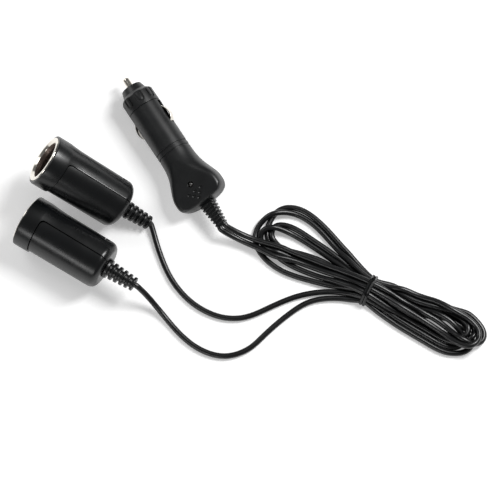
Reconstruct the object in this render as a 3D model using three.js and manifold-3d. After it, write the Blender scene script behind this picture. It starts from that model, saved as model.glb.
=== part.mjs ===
// Car socket splitter: a fused accessory plug that feeds two sockets through two thin round cords.
// Millimetres, +Z up. The lower socket lies along X with its mouth towards -X. The origin is on the
// table, under the middle of the box round the plug and the two sockets.
import * as THREE from 'three';
import { mergeVertices } from 'three/addons/utils/BufferGeometryUtils.js';
import Module from 'manifold-3d';

const wasm = await Module();
wasm.setup();

// Fits that every piece shares
const SEAT_GAP = 0.3;
const RUNNING_GAP = 0.35;
const PARTING_GAP = 0.3;
// Facets round a large and a small turned piece
const FINE = 28;
const COARSE = 16;

// Plug barrel and handle. Local x runs from the cap's seam to the cord, z out of the flat face.
const BARREL_RADIUS = 10.3;
const GROOVE_PLACES = [29.4, 32.4];
const GROOVE_WIDTH = 1.1;
const GROOVE_DEPTH = 0.6;
const HANDLE_LENGTH = 36.5;
const HANDLE_HALF_WIDTH = 15.9;
const HIP_LENGTH = 8.5;
const BELLY_DEPTH = 9.1;
const REAR_EDGE_RADIUS = 3;
// Powers of the curves: 2 is a circle or an ellipse, and more is squarer
const TOP_POWER = 4.5;
const BELLY_POWER = 2.25;
const HIP_POWER = 3.2;
const EDGE_POWER = 2.5;
const FACET_START = 7;
const FACET_SLOPE = 3.5;
const SHELL_WALL = 2;
const REAR_WALL = 2.5;
const SPIGOT_LENGTH = 7.9;

// Screw cap on the plug's nose
const CAP_LENGTH = 15.2;
const CAP_NOSE_LENGTH = 4.3;
const CAP_NOSE_RADIUS = 6.3;
const CAP_NOSE_EDGE = 0.85;
const CAP_NECK_RADIUS = 7.6;
const CAP_SHOULDER_LENGTH = 2.4;
const CAP_SHOULDER_EDGE = 0.7;
const CAP_FRONT_WALL = 2.2;
const CAP_CHAMBER_RADIUS = 4.2;
const CAP_WALL = 1.8;
const GRIP_COUNT = 8;
const GRIP_POCKET_WIDTH = 4.6;
const GRIP_POCKET_DEPTH = 0.8;
const GRIP_RIB_WIDTH = 2.4;
const GRIP_RIB_HEIGHT = 0.55;
const GRIP_RIB_START = 0.5;
const GRIP_LENGTH = 5.6;
const WASHER_THICKNESS = 0.8;

// Centre pin, fuse and spring
const PIN_RADIUS = 2.1;
const PIN_REACH = 7;
const PIN_FLANGE_RADIUS = 3.6;
const PIN_FLANGE_THICKNESS = 1.6;
const PIN_DOME = 0.8;
const FUSE_RADIUS = 3.15;
const FUSE_LENGTH = 30;
const FUSE_END_LENGTH = 6;
const FUSE_END_WALL = 0.4;
const FUSE_GLASS_WALL = 0.6;
const SPRING_LENGTH = 7.7;
const SPRING_WIRE_RADIUS = 0.35;
const SPRING_TURNS = 4.5;
const REAR_CONTACT_THICKNESS = 0.8;

// Sprung side contacts
const LEAF_THICKNESS = 0.5;
const LEAF_WIDTH = 4.8;
const LEAF_PROUD = 1.55;
// The bowed leaf, each point as [share of its length, depth below its crown]
const LEAF_BOW = [[0.2, 1.85], [0.42, 0.4], [0.68, 0], [0.9, 0.9], [1, 2.75]];
const LEAF_EYE_X = 2.4;
const LEAF_EYE_Y = 6.7;
const LEAF_EYE_RADIUS = 1.1;
const LEAF_END_X = 16;
const POCKET_FLOOR = 4.4;

// Indicator lamp, its board and the handle's screw
const LAMP_FROM_REAR = 13.1;
const LAMP_RADIUS = 1.5;
const LAMP_FLANGE_RADIUS = 1.9;
const LAMP_FLANGE_THICKNESS = 1;
const LAMP_TOP = 9.4;
const BOARD_TOP = 4.1;
const BOARD_THICKNESS = 1.2;
const BOARD_LENGTH = 11;
const BOARD_WIDTH = 14;
const BOARD_POST_RADIUS = 1;
const BOARD_POST_SPREAD = 5;
// Blind dimples behind the lamp, each as [distance from the handle's rear end, place across]
const DIMPLES = [[8.3, -4.3], [8.3, 0], [8.3, 4.3], [6.1, -2.15], [6.1, 2.15], [3.9, 0]];
const DIMPLE_RADIUS = 1;
const DIMPLE_DEPTH = 0.6;
const SCREW_SHANK_RADIUS = 1.2;
const SCREW_HEAD_RADIUS = 2.5;
const SCREW_HEAD_HEIGHT = 1.7;
const SCREW_HEAD_EDGE = 0.5;
const SCREW_POINT = 1;
const SCREW_BOSS_WALL = 1.2;
const SCREW_HEAD_WALL = 0.9;
const HANDLE_SCREW_FROM_REAR = 24.9;
const HANDLE_SCREW_LENGTH = 13;

// Strain relief on the plug
const PLUG_BOOT_LENGTH = 16;
const PLUG_BOOT_WIDTH = 9.6;
const PLUG_BOOT_HEIGHT = 7.6;
const PLUG_BOOT_TAPER = 0.68;
const PLUG_BOOT_RIBS = 7;
const PLUG_BOOT_RIB_SHARE = 0.58;
const PLUG_BOOT_CORE = 0.8;
const PLUG_BOOT_NECK_WIDTH = 7.2;
const PLUG_BOOT_NECK_HEIGHT = 5.8;
const PLUG_BOOT_ROOT_THICKNESS = 1.8;
const PLUG_BOOT_CORNER = 0.25;

// Sockets. Local x runs from the mouth to the cord, and the cover is the half with y below zero.
const SOCKET_LENGTH = 55;
const COLLAR_RADIUS = 15.8;
const COLLAR_LENGTH = 9;
const COLLAR_EDGE = 0.9;
const BODY_RADIUS = 15.1;
const BODY_TAPER = 0.3;
const COLLAR_BLEND = 11;
const COVER_STEP = 0.5;
const COVER_START = 10;
const COVER_CORNER = 3;
const COVER_GAP = 0.5;
const REAR_CORNER = 4.6;
const SOCKET_REAR_WALL = 4;
const WIRING_SPACE = 4.4;
const SLEEVE_RADIUS = 10.6;
const SLEEVE_WALL = 0.6;
const SLEEVE_FLARE = 3;
const SLEEVE_FLOOR_HOLE = 6;
const LIP_RADIUS = 14.4;
const LIP_FACE_RADIUS = 13;
const LIP_FACE_BAND = 0.8;
const LIP_PROUD = 0.6;
const LIP_THICKNESS = 1.3;
const LIP_EDGE = 0.3;
const WIRING_RADIUS = 10.5;
const INSULATOR_THICKNESS = 1.5;
const INSULATOR_HUB_LENGTH = 2;
const CONTACT_HEAD_RADIUS = 4.5;
const CONTACT_HEAD_THICKNESS = 2;
// The head's dome, each point as [depth, share of the radius]
const CONTACT_DOME = [[0, 0], [0.2, 0.5], [0.8, 0.88], [1.4, 1]];
const CONTACT_SHANK_RADIUS = 1.7;
const CONTACT_TAIL_RADIUS = 2.9;
const CONTACT_TAIL_THICKNESS = 1;
const TAG_THICKNESS = 0.6;
const TAG_WIDTH = 4;
const TAG_TONGUE = 3.6;
const TAG_RIM = 0.6;
const TAG_TIP_CLEARANCE = 1.6;
const COVER_SCREW_FROM_REAR = 8.8;
const COVER_SCREW_OFFSET = 6.6;
const COVER_SCREW_REACH = 9;
const COVER_SCREW_SINK = 2.4;
const SCREW_HOLE_SPARE = 4.3;
const SCREW_POST_SHORT = 0.8;

// Strain relief on each socket
const BOOT_LENGTH = 19;
const BOOT_FLANGE_RADIUS = 6.2;
const BOOT_FLANGE_THICKNESS = 1.8;
const BOOT_FLANGE_EDGE = 0.6;
const BOOT_DISCS = 5;
const BOOT_FIRST_RADIUS = 5.3;
const BOOT_LAST_RADIUS = 4.3;
const BOOT_DISC_SHARE = 0.6;
const BOOT_DISC_EDGE = 0.35;
const BOOT_NECK_DEPTH = 1.5;
const BOOT_NECK_RADIUS = 3.6;
const BOOT_ROOT_RADIUS = 5.8;
const BOOT_ROOT_THICKNESS = 1.7;

// Cords and the strap round their hank
const CORD_DIAMETER = 3.4;
const LEAD_STRAIGHT = 4;
const HANK_HEIGHT = 9;
const TIE_WIDTH = 3;
const TIE_THICKNESS = 1;
const STRAP_INNER_WIDTH = 20;
const CORD_SIDES = 8;
const CORD_STEP = 8.5;

// Where the sub-assemblies lie, with their turns about Z, then Y, then X, in degrees
const PLUG_PLACE = { at: [-21.5, 48.7, 10.7], yaw: -25.6, pitch: 0, roll: 22 };
const LOWER_SOCKET_PLACE = { at: [-43.2, -45.9, 15.8], yaw: 0, pitch: 0, roll: -8.4 };
const UPPER_SOCKET_PLACE = { at: [-50, -13.6, 36.3], yaw: 4.9, pitch: 26, roll: -8.4 };
const TIE_PLACE = [147.4, 24.9];
const TIE_YAW = 5;

// The twin leads from the plug to the hank, the leads from the hank to the sockets, and the hank
const TWIN_LEAD = [[67.5, 12.6, 9], [75, 14.3, 8.6]];
const UPPER_LEAD = [[135.4, 17.1, 1.7], [124.7, 10.6, 1.7], [113.6, 0.9, 1.7], [104.4, -11.9, 1.7],
    [97.6, -23.1, 1.7], [90.9, -29.9, 1.7], [79.1, -35, 1.7], [62.3, -35.5, 1.7], [45, -29.7, 1.7],
    [29.1, -18.1, 1.9]];
const LOWER_LEAD = [[137.7, 13.4, 1.7], [121, 1.9, 1.7], [114.2, -13, 1.7], [109.3, -28.8, 1.7],
    [106.6, -41.2, 1.7], [96.8, -52.9, 1.7], [82.2, -56.9, 1.7], [67.5, -55.2, 1.7], [50.9, -49.6, 4],
    [39.5, -46.2, 11]];
const HANK_TOP_EDGE = [[74.9, 27.6], [76.9, 39.1], [82.9, 45.2], [88.9, 47.9], [95.9, 47.6],
    [104.1, 46.3], [118.4, 40.8], [132.1, 36.4], [141.9, 34.2], [147.6, 34.4], [161.7, 35.9],
    [174.1, 37.9], [187.2, 40.9], [198.7, 42.2], [206.7, 41.4], [213, 38.9], [220.3, 37]];
const HANK_LOW_EDGE = [[221.4, 31.9], [220.8, 27.3], [216.8, 21.6], [208.1, 17], [199.9, 15.9],
    [187.8, 15.6], [173.7, 16.2], [162.8, 17.4], [150.2, 16.6], [146.4, 15.8], [142.5, 13.8], [139.1, 11.6]];
const HANK_STEP_EDGE = [[134.6, 19.1], [123.3, 12.8], [108.9, 8.6], [101.6, 7], [94.8, 6], [85, 7.5],
    [78.3, 11.2], [75.3, 16.6]];

const black = { color: 0x17191b, roughness: 0.42, metalness: 0 };
const cordBlack = { color: 0x141517, roughness: 0.5, metalness: 0 };
const nickel = { color: 0xc9c4ba, roughness: 0.22, metalness: 1 };
const brass = { color: 0xc2a25a, roughness: 0.35, metalness: 1 };
const steel = { color: 0x9a9da0, roughness: 0.35, metalness: 1 };
const glass = { color: 0xdfe8ea, roughness: 0.08, metalness: 0, transparent: true, opacity: 0.4 };
const resin = { color: 0x7a4a26, roughness: 0.6, metalness: 0 };
const laminate = { color: 0x2c5c3a, roughness: 0.55, metalness: 0 };
const lampLens = { color: 0xb8b2a8, roughness: 0.15, metalness: 0 };

// Faces of a closed mesh, flipped if they point inwards, with the points on each seam shared
function closedMesh(geometry) {
    const bare = new THREE.BufferGeometry();
    bare.setAttribute('position', geometry.getAttribute('position').clone());
    bare.setIndex(geometry.index ? geometry.index.clone() : null);
    const merged = mergeVertices(bare, 1e-3);
    const points = merged.getAttribute('position');
    const corner = (i) => new THREE.Vector3().fromBufferAttribute(points, i);
    const faces = [];
    let volume = 0;
    for (let i = 0; i < merged.index.count; i += 3) {
        const [a, b, c] = [0, 1, 2].map((k) => merged.index.getX(i + k));
        if (a === b || b === c || c === a) continue;
        faces.push([a, b, c]);
        volume += corner(a).dot(corner(b).cross(corner(c)));
    }
    const outward = volume > 0 ? faces : faces.map(([a, b, c]) => [a, c, b]);
    return { vertices: new Float32Array(points.array), faces: new Uint32Array(outward.flat()) };
}

function solidOf(geometry) {
    const { vertices, faces } = closedMesh(geometry);
    return new wasm.Manifold(new wasm.Mesh({ numProp: 3, vertProperties: vertices, triVerts: faces }));
}

function geometryOf(solid) {
    const mesh = solid.getMesh();
    const geometry = new THREE.BufferGeometry();
    geometry.setAttribute('position', new THREE.BufferAttribute(mesh.vertProperties, 3));
    geometry.setIndex(new THREE.BufferAttribute(mesh.triVerts, 1));
    return geometry;
}

// Joins, cuts and overlaps of closed geometries
function joined(...geometries) {
    return geometryOf(geometries.map(solidOf).reduce((sum, next) => sum.add(next)));
}

function cut(geometry, ...tools) {
    return geometryOf(tools.map(solidOf).reduce((rest, tool) => rest.subtract(tool), solidOf(geometry)));
}

function shared(geometry, other) {
    return geometryOf(solidOf(geometry).intersect(solidOf(other)));
}

// A piece turned about the X axis, from [x, radius] pairs. It starts and ends on the axis.
function turned(profile, segments = FINE) {
    const points = profile.map(([x, radius]) => new THREE.Vector2(radius, x));
    return new THREE.LatheGeometry(points, segments).rotateZ(-Math.PI / 2);
}

// A ring turned about the X axis, from a section that closes on itself
function ring(section, segments = FINE) {
    return turned([...section, section[0]], segments);
}

function rod(from, to, radius, segments = COARSE) {
    return turned([[from, 0], [from, radius], [to, radius], [to, 0]], segments);
}

// A round post along Z
function post(x, y, low, high, radius) {
    return rod(low, high, radius, COARSE).rotateY(-Math.PI / 2).translate(x, y, 0);
}

function block(x0, x1, y0, y1, z0, z1) {
    return new THREE.BoxGeometry(x1 - x0, y1 - y0, z1 - z0)
        .translate((x0 + x1) / 2, (y0 + y1) / 2, (z0 + z1) / 2);
}

// A flat outline in x and y, given its height along z
function plate(shape, low, high, curveSegments = 6) {
    const settings = { depth: high - low, bevelEnabled: false, curveSegments };
    return new THREE.ExtrudeGeometry(shape, settings).translate(0, 0, low);
}

// A skin through a row of like rings of points, closed at both ends
function loft(rings) {
    const count = rings[0].length;
    const points = rings.flat();
    const faces = [];
    for (let r = 0; r < rings.length - 1; r += 1) {
        for (let i = 0; i < count; i += 1) {
            const a = r * count + i;
            const b = r * count + (i + 1) % count;
            faces.push(a, b, b + count, a, b + count, a + count);
        }
    }
    for (const [first, step] of [[0, -1], [(rings.length - 1) * count, 1]]) {
        for (let i = 1; i < count - 1; i += 1) {
            faces.push(first, first + (step > 0 ? i : i + 1), first + (step > 0 ? i + 1 : i));
        }
    }
    const geometry = new THREE.BufferGeometry();
    geometry.setAttribute('position', new THREE.Float32BufferAttribute(points.flat(), 3));
    geometry.setIndex(faces);
    return geometry;
}

// A flat outline of a given length and width that is round at its far end
function stadium(length, width) {
    const r = width / 2;
    const shape = new THREE.Shape();
    shape.moveTo(0, -r);
    shape.lineTo(length - r, -r);
    shape.absarc(length - r, 0, r, -Math.PI / 2, Math.PI / 2);
    shape.lineTo(0, r);
    return shape;
}

// A round cord or wire along a curve
function tube(curve, radius, sides, steps) {
    const section = new THREE.Shape();
    section.absarc(0, 0, radius, 0, 2 * Math.PI);
    const settings = { steps, curveSegments: sides / 2, bevelEnabled: false, extrudePath: curve };
    return new THREE.ExtrudeGeometry(section, settings);
}

// The handle's form at a distance behind the rear groove, shrunk by an inset all round
function handleSection(distance, inset) {
    const waist = HANDLE_LENGTH - HIP_LENGTH;
    const swell = (1 - Math.cos(Math.PI * Math.min(distance / waist, 1) ** 1.5)) / 2;
    const hip = Math.max((distance - waist) / HIP_LENGTH, 0);
    const edge = Math.max((distance - HANDLE_LENGTH + REAR_EDGE_RADIUS) / REAR_EDGE_RADIUS, 0);
    const fullness = (1 - hip ** HIP_POWER) ** (1 / HIP_POWER);
    const roundOff = (1 - edge ** EDGE_POWER) ** (1 / EDGE_POWER);
    return {
        halfWidth: THREE.MathUtils.lerp(BARREL_RADIUS, HANDLE_HALF_WIDTH, swell) * fullness - inset,
        top: BARREL_RADIUS * roundOff - inset,
        belly: THREE.MathUtils.lerp(BARREL_RADIUS, BELLY_DEPTH, swell) * roundOff - inset,
        topPower: THREE.MathUtils.lerp(2, TOP_POWER, swell),
        bellyPower: THREE.MathUtils.lerp(2, BELLY_POWER, swell),
    };
}

function sectionRing(x, section) {
    const points = [];
    for (let i = 0; i < FINE; i += 1) {
        const angle = (2 * Math.PI * i) / FINE;
        const [c, s] = [Math.cos(angle), Math.sin(angle)];
        const power = 2 / (s >= 0 ? section.topPower : section.bellyPower);
        const height = s >= 0 ? section.top : section.belly;
        const y = section.halfWidth * Math.sign(c) * Math.abs(c) ** power;
        points.push([x, y, height * Math.sign(s) * Math.abs(s) ** power]);
    }
    return points;
}

const REAR_GROOVE = GROOVE_PLACES[1];
const PLUG_REAR = REAR_GROOVE + HANDLE_LENGTH;
const FACET_TILT = FACET_SLOPE * THREE.MathUtils.DEG2RAD;

// Height of the flat facet above the plug's axis
function facetHeight(x) {
    return BARREL_RADIUS - Math.max(x - REAR_GROOVE - FACET_START, 0) * Math.tan(FACET_TILT);
}

// Barrel and handle as one form, with the flat facet sliced off its top
function plugForm() {
    const rings = [sectionRing(0, handleSection(0, 0))];
    const waist = HANDLE_LENGTH - HIP_LENGTH;
    for (let i = 0; i <= 7; i += 1) {
        const distance = (waist * i) / 7;
        rings.push(sectionRing(REAR_GROOVE + distance, handleSection(distance, 0)));
    }
    for (const share of [0.3, 0.55, 0.75, 0.88, 0.95, 0.985]) {
        const distance = waist + HIP_LENGTH * share;
        rings.push(sectionRing(REAR_GROOVE + distance, handleSection(distance, 0)));
    }
    const reach = HANDLE_LENGTH * 2;
    const slice = block(0, reach, -reach, reach, 0, reach).rotateY(FACET_TILT)
        .translate(REAR_GROOVE + FACET_START, 0, BARREL_RADIUS);
    return cut(loft(rings), slice);
}

function handleCavity() {
    const rings = [];
    const front = SHELL_WALL * 2;
    const rear = HANDLE_LENGTH - REAR_WALL;
    for (let i = 0; i <= 6; i += 1) {
        const distance = front + ((rear - front) * i) / 6;
        rings.push(sectionRing(REAR_GROOVE + distance, handleSection(distance, SHELL_WALL)));
    }
    const reach = HANDLE_LENGTH * 2;
    const ceiling = block(-reach, reach, -reach, reach, 0, reach).rotateY(FACET_TILT)
        .translate(REAR_GROOVE + FACET_START, 0, BARREL_RADIUS - SHELL_WALL);
    return cut(loft(rings), ceiling);
}

// Places along the fuse's chain, each seated on the one before
const PIN_TIP = -CAP_LENGTH - PIN_REACH;
const FLANGE_FRONT = -CAP_LENGTH + CAP_FRONT_WALL + SEAT_GAP;
const FUSE_FRONT = FLANGE_FRONT + PIN_FLANGE_THICKNESS + SEAT_GAP;
const FUSE_REAR = FUSE_FRONT + FUSE_LENGTH;
const SPRING_FRONT = FUSE_REAR + SEAT_GAP;
const REAR_CONTACT_FRONT = SPRING_FRONT + SPRING_LENGTH + SEAT_GAP;
const FUSE_BORE_RADIUS = FUSE_RADIUS + RUNNING_GAP;
const SPIGOT_RADIUS = BARREL_RADIUS - CAP_WALL - RUNNING_GAP;
const REAR_CONTACT_RADIUS = FUSE_BORE_RADIUS + 1.4;

// Room in the shells for one side contact and its eye
function leafPocket(side) {
    const halfWidth = LEAF_WIDTH / 2 + RUNNING_GAP;
    const [near, far] = [side * POCKET_FLOOR, side * BARREL_RADIUS * 1.3];
    const front = LEAF_EYE_X - LEAF_EYE_RADIUS - RUNNING_GAP;
    const rear = LEAF_END_X + LEAF_THICKNESS + RUNNING_GAP;
    return block(front, rear, Math.min(near, far), Math.max(near, far), -halfWidth, halfWidth);
}

// The moulded pin through the eye of a side contact, from shell to shell
function leafPin(side) {
    const reach = LEAF_WIDTH / 2 + 1;
    const radius = LEAF_EYE_RADIUS - LEAF_THICKNESS - SEAT_GAP / 2;
    return post(LEAF_EYE_X, side * LEAF_EYE_Y, -reach, reach, radius);
}

const LAMP_X = PLUG_REAR - LAMP_FROM_REAR;
const HANDLE_SCREW_X = PLUG_REAR - HANDLE_SCREW_FROM_REAR;
const HANDLE_SCREW_FOOT = -BELLY_DEPTH + 0.2;
const SCREW_HOLE_RADIUS = SCREW_SHANK_RADIUS + SEAT_GAP;
const SCREW_BOSS_RADIUS = SCREW_HOLE_RADIUS + SCREW_BOSS_WALL;
const BOOT_ROOT_REAR = PLUG_REAR - REAR_WALL - SEAT_GAP;

// Both shells in one, before they are parted
function plugShells() {
    const spigot = rod(-SPIGOT_LENGTH, 1, SPIGOT_RADIUS, FINE);
    const postTop = facetHeight(LAMP_X) - SHELL_WALL / 2;
    const boardPosts = [-1, 1].map((side) => post(
        LAMP_X, side * BOARD_POST_SPREAD, BOARD_TOP + SEAT_GAP, postTop, BOARD_POST_RADIUS));
    const bossReach = BARREL_RADIUS - SHELL_WALL / 2;
    const headRoomRadius = SCREW_HEAD_RADIUS + SEAT_GAP;
    const boss = post(HANDLE_SCREW_X, 0, -bossReach, bossReach, headRoomRadius + SCREW_HEAD_WALL);
    const grooves = GROOVE_PLACES.map((x) => ring([
        [x, BARREL_RADIUS - GROOVE_DEPTH], [x, BARREL_RADIUS + 1],
        [x + GROOVE_WIDTH, BARREL_RADIUS + 1], [x + GROOVE_WIDTH, BARREL_RADIUS - GROOVE_DEPTH],
    ]));
    const hollow = cut(plugForm(), handleCavity(), ...grooves);
    const walls = joined(hollow, spigot, ...boardPosts, boss);
    const contactSlot = rod(REAR_CONTACT_FRONT - SEAT_GAP,
        REAR_CONTACT_FRONT + REAR_CONTACT_THICKNESS + SEAT_GAP, REAR_CONTACT_RADIUS + SEAT_GAP);
    const fuseBore = rod(-SPIGOT_LENGTH - 1, REAR_CONTACT_FRONT, FUSE_BORE_RADIUS);
    const wireWay = rod(REAR_CONTACT_FRONT, REAR_GROOVE + SHELL_WALL * 2 + 1, FUSE_RADIUS * 0.8);
    const screwHole = post(HANDLE_SCREW_X, 0, -BARREL_RADIUS * 1.2,
        HANDLE_SCREW_FOOT + HANDLE_SCREW_LENGTH + SEAT_GAP * 2, SCREW_HOLE_RADIUS);
    const headRoom = post(HANDLE_SCREW_X, 0, -BARREL_RADIUS * 1.2,
        HANDLE_SCREW_FOOT + SCREW_HEAD_HEIGHT + SEAT_GAP, headRoomRadius);
    const lampHole = post(LAMP_X, 0, BOARD_TOP, BARREL_RADIUS * 1.2, LAMP_RADIUS + SEAT_GAP);
    const dimples = DIMPLES.map(([fromRear, y]) => {
        const x = PLUG_REAR - fromRear;
        return post(x, y, facetHeight(x) - DIMPLE_DEPTH, BARREL_RADIUS * 1.2, DIMPLE_RADIUS);
    });
    const neckWay = block(PLUG_REAR - REAR_WALL - 1, PLUG_REAR + 1,
        -PLUG_BOOT_NECK_WIDTH / 2 - SEAT_GAP, PLUG_BOOT_NECK_WIDTH / 2 + SEAT_GAP,
        -PLUG_BOOT_NECK_HEIGHT / 2 - SEAT_GAP, PLUG_BOOT_NECK_HEIGHT / 2 + SEAT_GAP);
    const cleared = cut(walls, contactSlot, fuseBore, wireWay, screwHole, headRoom, lampHole, neckWay,
        leafPocket(-1), leafPocket(1), ...dimples);
    return joined(cleared, leafPin(-1), leafPin(1));
}

// One half of the shells: side is 1 for the upper half and -1 for the lower
function plugShell(whole, side) {
    const reach = PLUG_REAR * 2;
    const [near, far] = [side * PARTING_GAP / 2, side * reach];
    return shared(whole, block(-reach, reach, -reach, reach, Math.min(near, far), Math.max(near, far)));
}

// Nose cap: a turned body with grips, each a raised rib in a pocket that is open to the front
function tipCap() {
    const neckX = -CAP_LENGTH + CAP_NOSE_LENGTH;
    const shoulderX = neckX + CAP_SHOULDER_LENGTH;
    const seam = -PARTING_GAP / 2;
    const [face, chamber] = [-CAP_LENGTH, -CAP_LENGTH + CAP_FRONT_WALL];
    const [holeRadius, boreRadius] = [PIN_RADIUS + RUNNING_GAP, BARREL_RADIUS - CAP_WALL];
    const bevel = CAP_NOSE_EDGE * 0.3;
    const body = turned([[face, 0], [face, CAP_NOSE_RADIUS - CAP_NOSE_EDGE],
        [face + bevel, CAP_NOSE_RADIUS - bevel], [face + CAP_NOSE_EDGE, CAP_NOSE_RADIUS],
        [neckX, CAP_NECK_RADIUS], [shoulderX - CAP_SHOULDER_EDGE, BARREL_RADIUS - CAP_SHOULDER_EDGE * 0.7],
        [shoulderX, BARREL_RADIUS], [seam, BARREL_RADIUS], [seam, 0]]);
    const bore = turned([[face - 1, 0], [face - 1, holeRadius], [chamber, holeRadius],
        [chamber, CAP_CHAMBER_RADIUS], [CAP_SEAT, CAP_CHAMBER_RADIUS], [CAP_SEAT, boreRadius],
        [1, boreRadius], [1, 0]]);
    const floor = BARREL_RADIUS - GRIP_POCKET_DEPTH;
    const pocketShape = stadium(GRIP_LENGTH + CAP_SHOULDER_LENGTH, GRIP_POCKET_WIDTH);
    const pocket = plate(pocketShape, floor, BARREL_RADIUS + 3, 3).translate(neckX, 0, 0);
    const margin = (GRIP_POCKET_WIDTH - GRIP_RIB_WIDTH) / 2;
    const ribShape = stadium(GRIP_LENGTH - margin - GRIP_RIB_START, GRIP_RIB_WIDTH);
    const rib = plate(ribShape, floor - 0.3, floor + GRIP_RIB_HEIGHT, 3)
        .translate(shoulderX + GRIP_RIB_START, 0, 0);
    const angles = Array.from({ length: GRIP_COUNT }, (_, i) => (2 * Math.PI * i) / GRIP_COUNT);
    const pockets = angles.map((angle) => pocket.clone().rotateX(angle));
    const ribs = angles.map((angle) => rib.clone().rotateX(angle));
    return joined(cut(body, bore, ...pockets), ...ribs);
}

const WASHER_FRONT = -SPIGOT_LENGTH - SEAT_GAP - WASHER_THICKNESS;
const CAP_SEAT = WASHER_FRONT - SEAT_GAP;

// Fibre washer that the cap carries and tightens against the shells
function capWasher() {
    const [inner, outer] = [FUSE_BORE_RADIUS + SEAT_GAP, BARREL_RADIUS - CAP_WALL - SEAT_GAP];
    const rear = WASHER_FRONT + WASHER_THICKNESS;
    return ring([[WASHER_FRONT, inner], [WASHER_FRONT, outer], [rear, outer], [rear, inner]]);
}

// Centre pin: a domed stud with a flange that the cap holds back
function centrePin() {
    const dome = [];
    for (let i = 0; i <= 4; i += 1) {
        const angle = (Math.PI / 2) * (i / 4);
        dome.push([PIN_TIP + PIN_RADIUS * PIN_DOME * (1 - Math.cos(angle)), PIN_RADIUS * Math.sin(angle)]);
    }
    const flangeRear = FLANGE_FRONT + PIN_FLANGE_THICKNESS;
    return turned([...dome, [FLANGE_FRONT, PIN_RADIUS], [FLANGE_FRONT, PIN_FLANGE_RADIUS],
        [flangeRear, PIN_FLANGE_RADIUS], [flangeRear, 0]], COARSE);
}

// End cup of the fuse: facing is 1 for the front cup and -1 for the rear one
function fuseEnd(face, facing) {
    const inner = FUSE_RADIUS - FUSE_END_WALL;
    return turned([[face, 0], [face, FUSE_RADIUS], [face + facing * FUSE_END_LENGTH, FUSE_RADIUS],
        [face + facing * FUSE_END_LENGTH, inner], [face + facing * FUSE_END_WALL, inner],
        [face + facing * FUSE_END_WALL, 0]], COARSE);
}

function fuseTube() {
    const outer = FUSE_RADIUS - FUSE_END_WALL - SEAT_GAP;
    const inner = outer - FUSE_GLASS_WALL;
    const [front, rear] = [FUSE_FRONT + FUSE_END_WALL + SEAT_GAP, FUSE_REAR - FUSE_END_WALL - SEAT_GAP];
    return ring([[front, inner], [front, outer], [rear, outer], [rear, inner]], COARSE);
}

// Compression spring behind the fuse
class Helix extends THREE.Curve {
    getPoint(t) {
        const angle = 2 * Math.PI * SPRING_TURNS * t;
        const radius = FUSE_RADIUS - SPRING_WIRE_RADIUS;
        const x = SPRING_FRONT + SPRING_WIRE_RADIUS + (SPRING_LENGTH - 2 * SPRING_WIRE_RADIUS) * t;
        return new THREE.Vector3(x, radius * Math.cos(angle), radius * Math.sin(angle));
    }
}

function pinSpring() {
    return tube(new Helix(), SPRING_WIRE_RADIUS, 6, Math.round(SPRING_TURNS * 10));
}

function rearContact() {
    return rod(REAR_CONTACT_FRONT, REAR_CONTACT_FRONT + REAR_CONTACT_THICKNESS, REAR_CONTACT_RADIUS);
}

// Side contact: an eye on the moulded pin, and a bowed leaf that stands proud of the barrel
function sideContact(side) {
    const crown = BARREL_RADIUS + LEAF_PROUD;
    const rise = LEAF_BOW.map(([share, depth]) => new THREE.Vector2(
        THREE.MathUtils.lerp(LEAF_EYE_X, LEAF_END_X, share), crown - depth));
    const foot = new THREE.Vector2(LEAF_EYE_X, LEAF_EYE_Y + LEAF_EYE_RADIUS);
    const bow = new THREE.SplineCurve([foot, ...rise]).getPoints(14);
    const inside = bow.map((point, i) => {
        const along = bow[Math.min(i + 1, 14)].clone().sub(bow[Math.max(i - 1, 0)]).normalize();
        return new THREE.Vector2(point.x + along.y * LEAF_THICKNESS, point.y - along.x * LEAF_THICKNESS);
    });
    const leaf = plate(new THREE.Shape([...bow, ...inside.reverse()]), -LEAF_WIDTH / 2, LEAF_WIDTH / 2);
    const eye = new THREE.Shape();
    eye.absarc(LEAF_EYE_X, LEAF_EYE_Y, LEAF_EYE_RADIUS, 0, 2 * Math.PI);
    const bore = new THREE.Path();
    bore.absarc(LEAF_EYE_X, LEAF_EYE_Y, LEAF_EYE_RADIUS - LEAF_THICKNESS, 0, 2 * Math.PI, true);
    eye.holes.push(bore);
    const whole = joined(leaf, plate(eye, -LEAF_WIDTH / 2, LEAF_WIDTH / 2, 8));
    return side > 0 ? whole : whole.rotateX(Math.PI);
}

// Indicator lamp: a small domed lamp on its board, showing through the flat facet
function indicatorLamp() {
    const foot = BOARD_TOP + SEAT_GAP;
    const flangeTop = foot + LAMP_FLANGE_THICKNESS;
    const shoulder = LAMP_TOP - LAMP_RADIUS;
    const dome = [0, 1, 2, 3].map((i) => {
        const angle = (Math.PI / 6) * i;
        return [shoulder + LAMP_RADIUS * Math.sin(angle), LAMP_RADIUS * Math.cos(angle)];
    });
    dome[3][1] = 0;
    return turned([[foot, 0], [foot, LAMP_FLANGE_RADIUS], [flangeTop, LAMP_FLANGE_RADIUS],
        [flangeTop, LAMP_RADIUS], ...dome], COARSE).rotateY(-Math.PI / 2).translate(LAMP_X, 0, 0);
}

function circuitBoard() {
    return block(LAMP_X - BOARD_LENGTH / 2, LAMP_X + BOARD_LENGTH / 2, -BOARD_WIDTH / 2, BOARD_WIDTH / 2,
        BOARD_TOP - BOARD_THICKNESS, BOARD_TOP);
}

// Pan-head screw along X, its head's top at zero
function screw(length) {
    return turned([[0, 0], [0, SCREW_HEAD_RADIUS - SCREW_HEAD_EDGE], [SCREW_HEAD_EDGE, SCREW_HEAD_RADIUS],
        [SCREW_HEAD_HEIGHT, SCREW_HEAD_RADIUS], [SCREW_HEAD_HEIGHT, SCREW_SHANK_RADIUS],
        [length - SCREW_POINT, SCREW_SHANK_RADIUS], [length, 0]], COARSE);
}

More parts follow.
